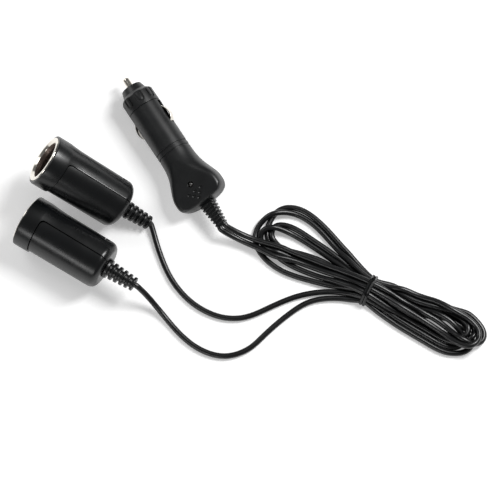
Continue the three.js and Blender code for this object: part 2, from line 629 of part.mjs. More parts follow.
function handleScrew() {
    return screw(HANDLE_SCREW_LENGTH).rotateY(-Math.PI / 2).translate(HANDLE_SCREW_X, 0, HANDLE_SCREW_FOOT);
}

// Strain relief of the plug: a tapered core with a stack of square ribs, and a root inside the shells
function plugBoot() {
    const front = PLUG_REAR + SEAT_GAP;
    const narrowing = (x) => 1 - (1 - PLUG_BOOT_TAPER) * ((x - front) / PLUG_BOOT_LENGTH);
    const square = (x, scale) => {
        const [w, h] = [PLUG_BOOT_WIDTH, PLUG_BOOT_HEIGHT].map((size) => (size / 2) * narrowing(x) * scale);
        const c = PLUG_BOOT_CORNER * Math.min(w, h);
        return [[x, w, h - c], [x, w - c, h], [x, c - w, h], [x, -w, h - c], [x, -w, c - h], [x, c - w, -h],
            [x, w - c, -h], [x, w, c - h]];
    };
    const pitch = PLUG_BOOT_LENGTH / PLUG_BOOT_RIBS;
    const ribs = Array.from({ length: PLUG_BOOT_RIBS }, (_, i) => {
        const start = front + pitch * i;
        return loft([square(start, 1), square(start + pitch * PLUG_BOOT_RIB_SHARE, 1)]);
    });
    const core = loft([front + 0.1, front + PLUG_BOOT_LENGTH].map((x) => square(x, PLUG_BOOT_CORE)));
    const neck = block(BOOT_ROOT_REAR - 1, front + 0.5, -PLUG_BOOT_NECK_WIDTH / 2, PLUG_BOOT_NECK_WIDTH / 2,
        -PLUG_BOOT_NECK_HEIGHT / 2, PLUG_BOOT_NECK_HEIGHT / 2);
    const root = block(BOOT_ROOT_REAR - PLUG_BOOT_ROOT_THICKNESS, BOOT_ROOT_REAR,
        -PLUG_BOOT_WIDTH / 2, PLUG_BOOT_WIDTH / 2, -PLUG_BOOT_HEIGHT / 2, PLUG_BOOT_HEIGHT / 2);
    return joined(core, ...ribs, neck, root);
}

// Places along a socket, each from the one behind it: rear wall, boot root, wiring, rivet, sleeve
const SOCKET_ROOT_REAR = SOCKET_LENGTH - SOCKET_REAR_WALL - SEAT_GAP;
const SOCKET_ROOT_FRONT = SOCKET_ROOT_REAR - BOOT_ROOT_THICKNESS;
const TAIL_FRONT = SOCKET_ROOT_FRONT - WIRING_SPACE - CONTACT_TAIL_THICKNESS;
const TAG_FRONT = TAIL_FRONT - SEAT_GAP - TAG_THICKNESS;
const HUB_REAR = TAG_FRONT - SEAT_GAP;
const INSULATOR_REAR = HUB_REAR - INSULATOR_HUB_LENGTH;
const INSULATOR_FRONT = INSULATOR_REAR - INSULATOR_THICKNESS;
const SLEEVE_DEPTH = INSULATOR_REAR + SEAT_GAP + SLEEVE_WALL;
const COVER_SCREW_X = SOCKET_LENGTH - COVER_SCREW_FROM_REAR;

// Rounded rear end of a socket moulding, from its side to its end face
function rearCorner(radius) {
    return [0, 1, 2, 3].map((i) => {
        const angle = (Math.PI / 6) * i;
        const [inFromEnd, inFromSide] = [1 - Math.sin(angle), 1 - Math.cos(angle)];
        return [SOCKET_LENGTH - REAR_CORNER * inFromEnd, radius - REAR_CORNER * inFromSide];
    });
}

// Stepped space inside a socket's housing, for the sleeve, the wiring and the boot
function socketCavity() {
    const sleeveRoom = SLEEVE_RADIUS + SLEEVE_WALL + SEAT_GAP;
    const lipBack = LIP_THICKNESS - LIP_PROUD + SEAT_GAP;
    const sleeveEnd = SLEEVE_DEPTH + SEAT_GAP;
    const wall = SOCKET_LENGTH - SOCKET_REAR_WALL;
    const lipRoom = LIP_RADIUS + SEAT_GAP;
    const bootRoom = BOOT_NECK_RADIUS + SEAT_GAP;
    return turned([[-1, 0], [-1, lipRoom], [lipBack, lipRoom], [lipBack, sleeveRoom], [sleeveEnd, sleeveRoom],
        [sleeveEnd, WIRING_RADIUS], [wall, WIRING_RADIUS], [wall, bootRoom], [SOCKET_LENGTH + 1, bootRoom],
        [SOCKET_LENGTH + 1, 0]]);
}

// The cover's outline from above: two straight edges with a rounded corner at the front
function coverRegion(gap) {
    const [front, edge] = [COVER_START + gap, -gap];
    const reach = SOCKET_LENGTH * 1.5;
    const shape = new THREE.Shape();
    shape.moveTo(front, -reach);
    shape.lineTo(reach, -reach);
    shape.lineTo(reach, edge);
    shape.lineTo(front + COVER_CORNER, edge);
    shape.absarc(front + COVER_CORNER, edge - COVER_CORNER, COVER_CORNER, Math.PI / 2, Math.PI);
    return plate(shape, -COLLAR_RADIUS * 2, COLLAR_RADIUS * 2, 5);
}

// The column that holds the cover's screw, across the back of the housing
function coverScrewPost(radius, from, to) {
    return rod(from, to, radius, COARSE).rotateZ(Math.PI / 2)
        .translate(COVER_SCREW_X, 0, COVER_SCREW_OFFSET);
}

// Half width of the body at the height of the cover's screw, and how far out the screw's head sits
const SCREW_LEVEL_WIDTH = Math.sqrt(BODY_RADIUS ** 2 - COVER_SCREW_OFFSET ** 2);
const COVER_SCREW_HEAD = SCREW_LEVEL_WIDTH - COVER_SCREW_SINK;

// Walls of one moulding from its outer form: hollowed, with the screw's column across the back
function socketHousing(outer) {
    const reach = SCREW_LEVEL_WIDTH - COVER_STEP - BODY_TAPER - SCREW_POST_SHORT;
    const boss = shared(coverScrewPost(SCREW_BOSS_RADIUS, -reach, reach), outer);
    const holeEnd = COVER_SCREW_HEAD - COVER_SCREW_REACH - SCREW_HOLE_SPARE;
    const hole = coverScrewPost(SCREW_HOLE_RADIUS, holeEnd, COVER_SCREW_HEAD);
    const headRoom = coverScrewPost(SCREW_HEAD_RADIUS + SEAT_GAP,
        COVER_SCREW_HEAD - SCREW_HEAD_HEIGHT - SEAT_GAP, COLLAR_RADIUS * 1.2);
    return cut(joined(cut(outer, socketCavity()), boss), hole, headRoom);
}

// Collar and half housing in one moulding; the collar blends into the body by a hollow sweep
function socketBody() {
    const blend = [1, 2, 3, 4].map((i) => {
        const share = i / 4;
        return [COLLAR_LENGTH + COLLAR_BLEND * share,
            BODY_RADIUS + (COLLAR_RADIUS - BODY_RADIUS) * (1 - share) ** 2];
    });
    const chamfer = COLLAR_EDGE * 0.3;
    const outer = turned([[0, 0], [0, COLLAR_RADIUS - COLLAR_EDGE], [chamfer, COLLAR_RADIUS - chamfer],
        [COLLAR_EDGE, COLLAR_RADIUS], [COLLAR_LENGTH, COLLAR_RADIUS], ...blend,
        ...rearCorner(BODY_RADIUS - BODY_TAPER), [SOCKET_LENGTH, 0]]);
    return cut(socketHousing(outer), coverRegion(0));
}

// The other half housing, a step lower than the body all along
function socketCover() {
    const rear = rearCorner(BODY_RADIUS - COVER_STEP);
    const front = BODY_RADIUS - COVER_STEP + BODY_TAPER;
    const outer = turned([[COVER_START, 0], [COVER_START, front], ...rear, [SOCKET_LENGTH, 0]]);
    return shared(socketHousing(outer), coverRegion(COVER_GAP));
}

// Plated sleeve with a rolled lip in front and a turned-in floor
function socketSleeve() {
    const outer = SLEEVE_RADIUS + SLEEVE_WALL;
    const floor = SLEEVE_DEPTH - SLEEVE_WALL;
    const back = LIP_THICKNESS - LIP_PROUD;
    const [bandLow, bandHigh] = [LIP_FACE_RADIUS - LIP_FACE_BAND / 2, LIP_FACE_RADIUS + LIP_FACE_BAND / 2];
    const flareStart = SLEEVE_RADIUS + (bandLow - SLEEVE_RADIUS) * 0.6;
    const lip = [[back, outer], [back, LIP_RADIUS - LIP_EDGE], [back - LIP_THICKNESS * 0.4, LIP_RADIUS],
        [-LIP_PROUD * 0.6, LIP_RADIUS - LIP_EDGE], [-LIP_PROUD, bandHigh], [-LIP_PROUD, bandLow]];
    const flare = [[-LIP_PROUD * 0.5, flareStart + LIP_EDGE], [SLEEVE_FLARE * 0.25, flareStart - LIP_EDGE],
        [SLEEVE_FLARE, SLEEVE_RADIUS]];
    return ring([[SLEEVE_DEPTH, SLEEVE_FLOOR_HOLE], [SLEEVE_DEPTH, outer], ...lip, ...flare,
        [floor, SLEEVE_RADIUS], [floor, SLEEVE_FLOOR_HOLE]]);
}

// Moulded disc that holds the centre contact clear of the sleeve, with a hub through the floor's hole
function socketInsulator() {
    const bore = CONTACT_SHANK_RADIUS + SEAT_GAP;
    const hub = SLEEVE_FLOOR_HOLE - SEAT_GAP;
    const rim = SLEEVE_RADIUS - SEAT_GAP;
    return ring([[INSULATOR_FRONT, bore], [INSULATOR_FRONT, rim], [INSULATOR_REAR, rim],
        [INSULATOR_REAR, hub], [HUB_REAR, hub], [HUB_REAR, bore]]);
}

// Centre contact: a domed rivet through the insulator, headed over behind its terminal tag
function centreContact() {
    const headRear = INSULATOR_FRONT - SEAT_GAP;
    const headFront = headRear - CONTACT_HEAD_THICKNESS;
    const tailRear = TAIL_FRONT + CONTACT_TAIL_THICKNESS;
    const dome = CONTACT_DOME.map(([depth, share]) => [headFront + depth, CONTACT_HEAD_RADIUS * share]);
    return turned([...dome, [headRear, CONTACT_HEAD_RADIUS], [headRear, CONTACT_SHANK_RADIUS],
        [TAIL_FRONT, CONTACT_SHANK_RADIUS],
        [TAIL_FRONT, CONTACT_TAIL_RADIUS], [tailRear, CONTACT_TAIL_RADIUS * 0.7], [tailRear, 0]], COARSE);
}

// Flat terminal on the centre contact, with a tongue for its wire
function centreTag() {
    const half = TAG_WIDTH / 2;
    const shape = new THREE.Shape();
    shape.absarc(0, 0, CONTACT_TAIL_RADIUS + TAG_RIM, Math.PI / 5, 2 * Math.PI - Math.PI / 5);
    shape.lineTo(WIRING_RADIUS - TAG_TIP_CLEARANCE, -half);
    shape.lineTo(WIRING_RADIUS - TAG_TIP_CLEARANCE, half);
    const hole = new THREE.Path();
    hole.absarc(0, 0, CONTACT_SHANK_RADIUS + SEAT_GAP, 0, 2 * Math.PI, true);
    shape.holes.push(hole);
    return plate(shape, TAG_FRONT, TAG_FRONT + TAG_THICKNESS, 10).rotateY(Math.PI / 2).rotateX(Math.PI / 2);
}

// Bent terminal on the sleeve's floor, below the centre contact
function sleeveTag() {
    const front = SLEEVE_DEPTH + SEAT_GAP;
    const [low, high] = [-WIRING_RADIUS + TAG_RIM, -SLEEVE_FLOOR_HOLE - TAG_RIM];
    const foot = block(front, front + TAG_THICKNESS, -TAG_WIDTH / 2, TAG_WIDTH / 2, low, high);
    const tongue = block(front, front + TAG_THICKNESS + TAG_TONGUE, -TAG_WIDTH / 2, TAG_WIDTH / 2,
        high - TAG_THICKNESS, high);
    return joined(foot, tongue);
}

function coverScrew() {
    return screw(COVER_SCREW_REACH).rotateZ(-Math.PI / 2)
        .translate(COVER_SCREW_X, COVER_SCREW_HEAD, COVER_SCREW_OFFSET);
}

// Strain relief of a socket: a root inside the rear wall, a flange, and discs that get smaller
function socketBoot() {
    const front = SOCKET_LENGTH + SEAT_GAP;
    const profile = [[SOCKET_ROOT_FRONT, 0], [SOCKET_ROOT_FRONT, BOOT_ROOT_RADIUS],
        [SOCKET_ROOT_REAR, BOOT_ROOT_RADIUS], [SOCKET_ROOT_REAR, BOOT_NECK_RADIUS],
        [front, BOOT_NECK_RADIUS], [front, BOOT_FLANGE_RADIUS],
        [front + BOOT_FLANGE_THICKNESS, BOOT_FLANGE_RADIUS - BOOT_FLANGE_EDGE]];
    const pitch = (BOOT_LENGTH - BOOT_FLANGE_THICKNESS) / BOOT_DISCS;
    for (let i = 0; i < BOOT_DISCS; i += 1) {
        const radius = THREE.MathUtils.lerp(BOOT_FIRST_RADIUS, BOOT_LAST_RADIUS, i / (BOOT_DISCS - 1));
        const end = front + BOOT_FLANGE_THICKNESS + pitch * (i + 1);
        const start = end - pitch * BOOT_DISC_SHARE;
        const core = radius - BOOT_NECK_DEPTH;
        const coreStart = start - pitch * (1 - BOOT_DISC_SHARE) * 0.8;
        profile.push([coreStart, core], [start, core], [start + BOOT_DISC_EDGE, radius],
            [end - BOOT_DISC_EDGE, radius]);
    }
    profile.push([front + BOOT_LENGTH, BOOT_LAST_RADIUS - BOOT_NECK_DEPTH], [front + BOOT_LENGTH, 0]);
    return turned(profile, COARSE);
}

// A length of cord through its points
function cordLength(points) {
    const places = points.map((point) => new THREE.Vector3(...point));
    const curve = new THREE.CatmullRomCurve3(places, false, 'centripetal');
    return tube(curve, CORD_DIAMETER / 2, CORD_SIDES, Math.max(2, Math.round(curve.getLength() / CORD_STEP)));
}

// A point of a placed group, in the part's own frame
function placed(group, x, y, z) {
    group.updateMatrixWorld(true);
    return group.localToWorld(new THREE.Vector3(x, y, z)).toArray();
}

// The strap round the hank, or with some growth the channel that it lies in
function strapRing(grow) {
    const [half, bottom] = [STRAP_INNER_WIDTH / 2, TIE_THICKNESS];
    const top = bottom + HANK_HEIGHT + SEAT_GAP;
    const outer = block(-TIE_WIDTH / 2 - grow, TIE_WIDTH / 2 + grow, -half - TIE_THICKNESS - grow,
        half + TIE_THICKNESS + grow, -grow, top + TIE_THICKNESS + grow);
    const inner = block(-TIE_WIDTH, TIE_WIDTH, -half + grow, half - grow, bottom + grow, top - grow);
    return cut(outer, inner).rotateZ(TIE_YAW * THREE.MathUtils.DEG2RAD).translate(...TIE_PLACE, 0);
}

// The hank: one solid of the outer shape of its turns, with a channel for the strap
function cordHank() {
    const curve = (points) => points.map(([x, y]) => new THREE.Vector2(x, y));
    const shape = new THREE.Shape();
    const [topEdge, lowEdge, stepEdge] = [HANK_TOP_EDGE, HANK_LOW_EDGE, HANK_STEP_EDGE].map(curve);
    shape.moveTo(topEdge[0].x, topEdge[0].y);
    shape.splineThru(topEdge.slice(1));
    shape.splineThru(lowEdge);
    shape.lineTo(stepEdge[0].x, stepEdge[0].y);
    shape.splineThru(stepEdge.slice(1));
    return cut(plate(shape, 0, HANK_HEIGHT, 2), strapRing(SEAT_GAP));
}

function addPiece(group, name, geometry, finish) {
    const { vertices, faces } = closedMesh(geometry);
    const closed = new THREE.BufferGeometry();
    closed.setAttribute('position', new THREE.BufferAttribute(vertices, 3));
    closed.setIndex(new THREE.BufferAttribute(faces, 1));
    closed.computeVertexNormals();
    const mesh = new THREE.Mesh(closed, new THREE.MeshStandardMaterial({ ...finish, flatShading: true }));
    mesh.name = name;
    group.add(mesh);
}

function groupAt(place) {
    const group = new THREE.Group();
    const angles = [place.roll, place.pitch, place.yaw].map(THREE.MathUtils.degToRad);
    group.position.set(...place.at);
    group.rotation.set(...angles, 'ZYX');
    return group;
}

function buildPlug() {
    const plug = groupAt(PLUG_PLACE);
    const shells = plugShells();
    addPiece(plug, 'plug_shell_upper', plugShell(shells, 1), black);
    addPiece(plug, 'plug_shell_lower', plugShell(shells, -1), black);
    addPiece(plug, 'tip_cap', tipCap(), black);
    addPiece(plug, 'cap_washer', capWasher(), resin);
    addPiece(plug, 'centre_pin', centrePin(), nickel);
    addPiece(plug, 'fuse_cap_front', fuseEnd(FUSE_FRONT, 1), nickel);
    addPiece(plug, 'fuse_cap_rear', fuseEnd(FUSE_REAR, -1), nickel);
    addPiece(plug, 'fuse_tube', fuseTube(), glass);
    addPiece(plug, 'pin_spring', pinSpring(), steel);
    addPiece(plug, 'rear_contact', rearContact(), brass);
    addPiece(plug, 'side_contact_left', sideContact(-1), nickel);
    addPiece(plug, 'side_contact_right', sideContact(1), nickel);
    addPiece(plug, 'indicator_lamp', indicatorLamp(), lampLens);
    addPiece(plug, 'circuit_board', circuitBoard(), laminate);
    addPiece(plug, 'handle_screw', handleScrew(), steel);
    addPiece(plug, 'plug_boot', plugBoot(), black);
    return plug;
}

function buildSocket(prefix, place) {
    const socket = groupAt(place);
    addPiece(socket, `${prefix}_socket_body`, socketBody(), black);
    addPiece(socket, `${prefix}_socket_cover`, socketCover(), black);
    addPiece(socket, `${prefix}_socket_sleeve`, socketSleeve(), nickel);
    addPiece(socket, `${prefix}_socket_insulator`, socketInsulator(), resin);
    addPiece(socket, `${prefix}_centre_contact`, centreContact(), brass);
    addPiece(socket, `${prefix}_centre_tag`, centreTag(), brass);
    addPiece(socket, `${prefix}_sleeve_tag`, sleeveTag(), brass);
    addPiece(socket, `${prefix}_cover_screw`, coverScrew(), steel);
    addPiece(socket, `${prefix}_socket_boot`, socketBoot(), black);
    return socket;
}

const splitter = new THREE.Group();
const plug = buildPlug();
const lowerSocket = buildSocket('lower', LOWER_SOCKET_PLACE);
const upperSocket = buildSocket('upper', UPPER_SOCKET_PLACE);
splitter.add(plug, lowerSocket, upperSocket);

// Each lead starts straight out of its boot, at a gap from the boot's end
const bootEnd = PLUG_REAR + PLUG_BOOT_LENGTH + 2 * SEAT_GAP;
const leadSpread = (CORD_DIAMETER + SEAT_GAP) / 2;
for (const [name, side] of [['upper_plug_lead', 1], ['lower_plug_lead', -1]]) {
    const start = [0, LEAD_STRAIGHT].map((along) => placed(plug, bootEnd + along, side * leadSpread, 0));
    const rest = TWIN_LEAD.map(([x, y, z]) => [x, y + side * leadSpread, z]);
    addPiece(splitter, name, cordLength([...start, ...rest]), cordBlack);
}
const socketEnd = SOCKET_LENGTH + BOOT_LENGTH + 2 * SEAT_GAP;
for (const [name, route, socket] of [
    ['upper_socket_lead', UPPER_LEAD, upperSocket],
    ['lower_socket_lead', LOWER_LEAD, lowerSocket],
]) {
    const end = [LEAD_STRAIGHT, 0].map((along) => placed(socket, socketEnd + along, 0, 0));
    addPiece(splitter, name, cordLength([...route, ...end]), cordBlack);
}
addPiece(splitter, 'cord_hank', cordHank(), cordBlack);
addPiece(splitter, 'cord_tie', strapRing(0), black);

export default splitter;
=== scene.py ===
"""Looks of a car socket splitter: a fused plug, two sockets and the two cords between them.

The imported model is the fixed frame. The outer mouldings, the contacts, the strain reliefs and the
cords are built here as fine meshes in the same places, and the inner pieces get their finish.
Sizes are in millimetres in each class and become metres when a mesh is made.
"""
import logging
import math
from dataclasses import dataclass, field
from enum import Enum
from typing import Sequence

import bmesh
import bpy
import numpy as np
from mathutils import Euler, Matrix, Vector


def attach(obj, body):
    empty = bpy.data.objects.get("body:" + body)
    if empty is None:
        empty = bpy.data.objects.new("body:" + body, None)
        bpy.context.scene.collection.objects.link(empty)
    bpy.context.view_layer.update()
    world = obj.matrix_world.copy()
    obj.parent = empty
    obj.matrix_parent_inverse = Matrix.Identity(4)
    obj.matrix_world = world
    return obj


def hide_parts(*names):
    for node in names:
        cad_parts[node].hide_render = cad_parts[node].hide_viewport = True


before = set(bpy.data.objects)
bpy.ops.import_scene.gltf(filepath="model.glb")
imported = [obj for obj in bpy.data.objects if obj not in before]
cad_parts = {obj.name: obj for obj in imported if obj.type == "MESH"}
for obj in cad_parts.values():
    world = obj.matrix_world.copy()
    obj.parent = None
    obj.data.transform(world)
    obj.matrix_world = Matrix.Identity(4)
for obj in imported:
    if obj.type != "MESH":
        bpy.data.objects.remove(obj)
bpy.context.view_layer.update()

MM = 0.001
log = logging.getLogger("socket_splitter")

Point = Sequence[float]
Colour = tuple[float, float, float]


class Body(str, Enum):
    """The bodies of the frame that the pieces made here ride on."""

    HOUSINGS = "housings"
    PIN = "pin_and_fuse"
    LEFT = "left_contact"
    RIGHT = "right_contact"
    CAP = "cap"


class Slot(str, Enum):
    """The record's material slots, named alongside the pieces made here."""

    PLASTIC = "black_plastic"
    CORD = "cord_pvc"
    NICKEL = "nickel"
    STEEL = "steel"
    LENS = "lamp_lens"


@dataclass(frozen=True)
class Placement:
    """Where a sub-assembly lies: millimetres, and turns about Z, then Y, then X in degrees."""

    at: tuple[float, float, float]
    yaw: float
    pitch: float
    roll: float

    def matrix(self) -> Matrix:
        """Returns the matrix from the sub-assembly's own frame, in metres, to the part's frame."""
        angles = [math.radians(a) for a in (self.roll, self.pitch, self.yaw)]
        return Matrix.Translation(Vector(self.at) * MM) @ Euler(angles, "XYZ").to_matrix().to_4x4()

    def point(self, x: float, y: float, z: float) -> list[float]:
        """Returns a point of the sub-assembly in the part's frame, both in millimetres."""
        return list(self.matrix() @ (Vector((x, y, z)) * MM) / MM)


class Recipe:
    """A material's node tree, with short calls to add nodes and join them."""

    def __init__(self, name: str) -> None:
        """Starts a material with one surface shader.

        Args:
            name: the material's name.
        """
        self.material = bpy.data.materials.new(name)
        self.material.use_nodes = True
        self.tree = self.material.node_tree
        self.shader = self.tree.nodes["Principled BSDF"]
        self.place = self.add("ShaderNodeTexCoord").outputs["Object"]

    def add(self, kind: str, **settings: object) -> bpy.types.Node:
        """Adds a node.

        Args:
            kind: the node's type.
            **settings: the node's own properties.

        Returns:
            The new node.
        """
        node = self.tree.nodes.new(kind)
        for name, value in settings.items():
            setattr(node, name, value)
        return node

    def join(self, source: object, node: bpy.types.Node, name: str | int) -> None:
        """Feeds a node's input from a socket, or sets it where the source is a plain value."""
        if isinstance(source, bpy.types.NodeSocket):
            self.tree.links.new(source, node.inputs[name])
        else:
            node.inputs[name].default_value = source

    def noise(self, scale: float, detail: float = 2.0) -> bpy.types.NodeSocket:
        """Adds cloudy noise.

        Args:
            scale: waves to the metre.
            detail: octaves of finer noise.

        Returns:
            The noise's strength from 0 to 1.
        """
        noise = self.add("ShaderNodeTexNoise")
        self.join(self.place, noise, "Vector")
        self.join(scale, noise, "Scale")
        self.join(detail, noise, "Detail")
        return noise.outputs["Fac"]

    def spread(self, source: bpy.types.NodeSocket, low: float, high: float) -> bpy.types.NodeSocket:
        """Maps noise onto a range of values.

        Args:
            source: the noise.
            low: the value of its troughs.
            high: the value of its crests.

        Returns:
            The mapped value.
        """
        node = self.add("ShaderNodeMapRange")
        self.join(source, node, "Value")
        for name, value in (("From Min", 0.3), ("From Max", 0.7), ("To Min", low), ("To Max", high)):
            self.join(value, node, name)
        return node.outputs["Result"]

    def blend(self, source: bpy.types.NodeSocket, first: Colour, second: Colour) -> bpy.types.NodeSocket:
        """Mixes two colours by a value.

        Args:
            source: 0 for the first colour and 1 for the second.
            first: a linear colour.
            second: a linear colour.

        Returns:
            The mixed colour.
        """
        node = self.add("ShaderNodeMix", data_type="RGBA")
        self.join(source, node, 0)
        self.join((*first, 1), node, 6)
        self.join((*second, 1), node, 7)
        return node.outputs[2]

    def bump(self, source: bpy.types.NodeSocket, depth: float) -> None:
        """Raises the surface by noise, over what earlier calls raised.

        Args:
            source: the noise.
            depth: its height in metres.
        """
        node = self.add("ShaderNodeBump")
        self.join(1.0, node, "Strength")
        self.join(depth, node, "Distance")
        self.join(source, node, "Height")
        earlier = self.shader.inputs["Normal"].links
        if earlier:
            self.join(earlier[0].from_socket, node, "Normal")
        self.join(node.outputs["Normal"], self.shader, "Normal")

    def set(self, **values: object) -> None:
        """Sets inputs of the surface shader, with underscores in their names for spaces."""
        for name, value in values.items():
            self.join(value, self.shader, name.replace("_", " "))


@dataclass(frozen=True)
class Moulding:
    """Moulded or extruded plastic: a dark satin skin with a fine spark-eroded grain.

    The skin's gloss drifts from place to place, as it does where the mould was polished by hand.
    """

    name: str
    colour: Colour
    roughness: float
    shine: float = 0.4
    drift: float = 0.03
    grain: float = 0.000003
    grain_waves: float = 3200.0

    CLOUD_WAVES = 90.0
    CLOUD_LIGHTNESS = 1.35
    POLISH_WAVES = 140.0
    SWELL_WAVES = 110.0
    SWELL_HEIGHT = 0.000004

    def material(self) -> bpy.types.Material:
        """Returns the node material."""
        recipe = Recipe(self.name)
        cloud = recipe.spread(recipe.noise(self.CLOUD_WAVES), 0.0, 1.0)
        light = tuple(c * self.CLOUD_LIGHTNESS for c in self.colour)
        polish = recipe.noise(self.POLISH_WAVES, 4.0)
        recipe.set(
            Base_Color=recipe.blend(cloud, self.colour, light),
            Roughness=recipe.spread(polish, self.roughness - self.drift, self.roughness + self.drift),
            Specular_IOR_Level=self.shine,
        )
        recipe.bump(recipe.noise(self.grain_waves, 3.0), self.grain)
        recipe.bump(recipe.noise(self.SWELL_WAVES, 1.0), self.SWELL_HEIGHT)
        return recipe.material


@dataclass(frozen=True)
class Plating:
    """Bright metal: plated, drawn or stamped, with a faint tarnish and fine marks of handling."""

    name: str
    colour: Colour
    roughness: float

    TARNISH_WAVES = 220.0
    TARNISH_DARKNESS = 0.86
    MARK_WAVES = 900.0
    MARK_GLOSS = (0.7, 1.4)
    FINE_WAVES = 2600.0
    FINE_HEIGHT = 0.000002

    def material(self) -> bpy.types.Material:
        """Returns the node material."""
        recipe = Recipe(self.name)
        dull = tuple(c * self.TARNISH_DARKNESS for c in self.colour)
        tarnish = recipe.spread(recipe.noise(self.TARNISH_WAVES, 3.0), 0.0, 1.0)
        smoothest, roughest = [self.roughness * share for share in self.MARK_GLOSS]
        recipe.set(
            Base_Color=recipe.blend(tarnish, self.colour, dull),
            Roughness=recipe.spread(recipe.noise(self.MARK_WAVES, 3.0), smoothest, roughest),
            Metallic=1.0,
        )
        recipe.bump(recipe.noise(self.FINE_WAVES, 2.0), self.FINE_HEIGHT)
        return recipe.material


@dataclass(frozen=True)
class ClearGlass:
    """The fuse's thin glass."""

    name: str

    def material(self) -> bpy.types.Material:
        """Returns the node material."""
        recipe = Recipe(self.name)
        recipe.set(
            Base_Color=(0.93, 0.96, 0.96, 1), Transmission_Weight=1.0, IOR=1.5,
            Roughness=recipe.spread(recipe.noise(300.0), 0.02, 0.07),
        )
        return recipe.material


@dataclass(frozen=True)
class Finishes:
    """Every finish of the part, made once each."""

    shell: Moulding = Moulding("satin_shell_plastic", (0.0036, 0.0041, 0.0045), 0.37, 0.52)
    socket: Moulding = Moulding("satin_socket_plastic", (0.002, 0.0024, 0.0028), 0.29, 0.46, grain=0.0000015)
    boot: Moulding = Moulding("boot_plastic", (0.0024, 0.0028, 0.0032), 0.33, 0.48)
    cord: Moulding = Moulding("cord_pvc_skin", (0.0026, 0.0028, 0.0032), 0.32, 0.48, grain=0.000002)
    strap: Moulding = Moulding("strap_plastic", (0.0035, 0.0038, 0.0042), 0.28, 0.3)
    fibre: Moulding = Moulding("fibre_board", (0.2, 0.07, 0.025), 0.62, grain=0.00002, grain_waves=1800.0)
    laminate: Moulding = Moulding("board_laminate", (0.03, 0.11, 0.045), 0.4, grain=0.00001)
    nickel: Plating = Plating("warm_nickel", (0.8, 0.76, 0.69), 0.16)
    # The sleeve's inside: nickel painted far darker than the lip, as painted shade inside the socket's mouth.
    sleeve: Plating = Plating("dull_sleeve_nickel", (0.17, 0.13, 0.112), 0.44)
    brass: Plating = Plating("stamped_brass", (0.66, 0.5, 0.25), 0.3)
    steel: Plating = Plating("zinc_steel", (0.5, 0.51, 0.52), 0.32)
    glass: ClearGlass = ClearGlass("fuse_glass_clear")
    lens: Moulding = Moulding("smoked_lamp_lens", (0.02, 0.019, 0.018), 0.1, 0.7, drift=0.02, grain=0.000001)

    def made(self) -> dict[str, bpy.types.Material]:
        """Returns each finish's material by the finish's field name."""
        return {name: getattr(self, name).material() for name in self.__dataclass_fields__}


def mesh_piece(name: str, points: Sequence[Point], faces: Sequence[Sequence[int]]) -> bpy.types.Object:
    """Makes an object from points in millimetres.

    Args:
        name: the object's name.
        points: its corners.
        faces: each face's corner numbers, facing out.

    Returns:
        The object, at the origin.
    """
    mesh = bpy.data.meshes.new(name)
    mesh.from_pydata([Vector(p) * MM for p in points], [], [list(f) for f in faces])
    mesh.validate()
    piece = bpy.data.objects.new(name, mesh)
    bpy.context.scene.collection.objects.link(piece)
    return piece


def lofted(name: str, rings: Sequence[Sequence[Point]], looped: bool = False) -> bpy.types.Object:
    """Makes a closed skin through a row of like rings.

    Args:
        name: the object's name.
        rings: rows of points in millimetres, all with the same count.
        looped: whether the last ring joins the first; otherwise each end is flat.

    Returns:
        The object.
    """
    count, total = len(rings[0]), len(rings)
    faces = []
    for r in range(total if looped else total - 1):
        for i in range(count):
            j, s = (i + 1) % count, (r + 1) % total
            faces.append((r * count + i, r * count + j, s * count + j, s * count + i))
    if not looped:
        last = (total - 1) * count
        faces += [tuple(range(count - 1, -1, -1)), tuple(range(last, last + count))]
    return outward(mesh_piece(name, [p for ring in rings for p in ring], faces))


def outward(piece: bpy.types.Object) -> bpy.types.Object:
    """Turns a closed mesh's faces to point outwards.

    Args:
        piece: the object, whose mesh is changed.

    Returns:
        The same object.
    """
    work = bmesh.new()
    work.from_mesh(piece.data)
    bmesh.ops.remove_doubles(work, verts=work.verts, dist=1e-7)
    bmesh.ops.recalc_face_normals(work, faces=work.faces)
    work.to_mesh(piece.data)
    work.free()
    return piece


def turned(name: str, profile: Sequence[Point], sides: int = 128, closed: bool = False) -> bpy.types.Object:
    """Makes a piece turned about the X axis.

    Args:
        name: the object's name.
        profile: x and radius pairs in millimetres; it starts and ends on the axis, or is a ring's section.
        sides: how many facets go round.
        closed: whether the profile is a ring's section, which closes on itself.

    Returns:
        The object.
    """
    points: list[Point] = []
    rows: list[list[int]] = []
    for x, radius in profile:
        if radius < 1e-6:
            rows.append([len(points)] * sides)
            points.append((x, 0, 0))
            continue
        rows.append(list(range(len(points), len(points) + sides)))
        angles = [2 * math.pi * i / sides for i in range(sides)]
        points += [(x, radius * math.cos(a), radius * math.sin(a)) for a in angles]
    pairs = list(zip(rows, rows[1:] + rows[:1] if closed else rows[1:]))
    faces = []
    for low, high in pairs:
        for i in range(sides):
            j = (i + 1) % sides
            corners = [low[i], low[j], high[j], high[i]]
            face = [c for k, c in enumerate(corners) if c != corners[k - 1]]
            if len(face) > 2:
                faces.append(face)
    return outward(mesh_piece(name, points, faces))


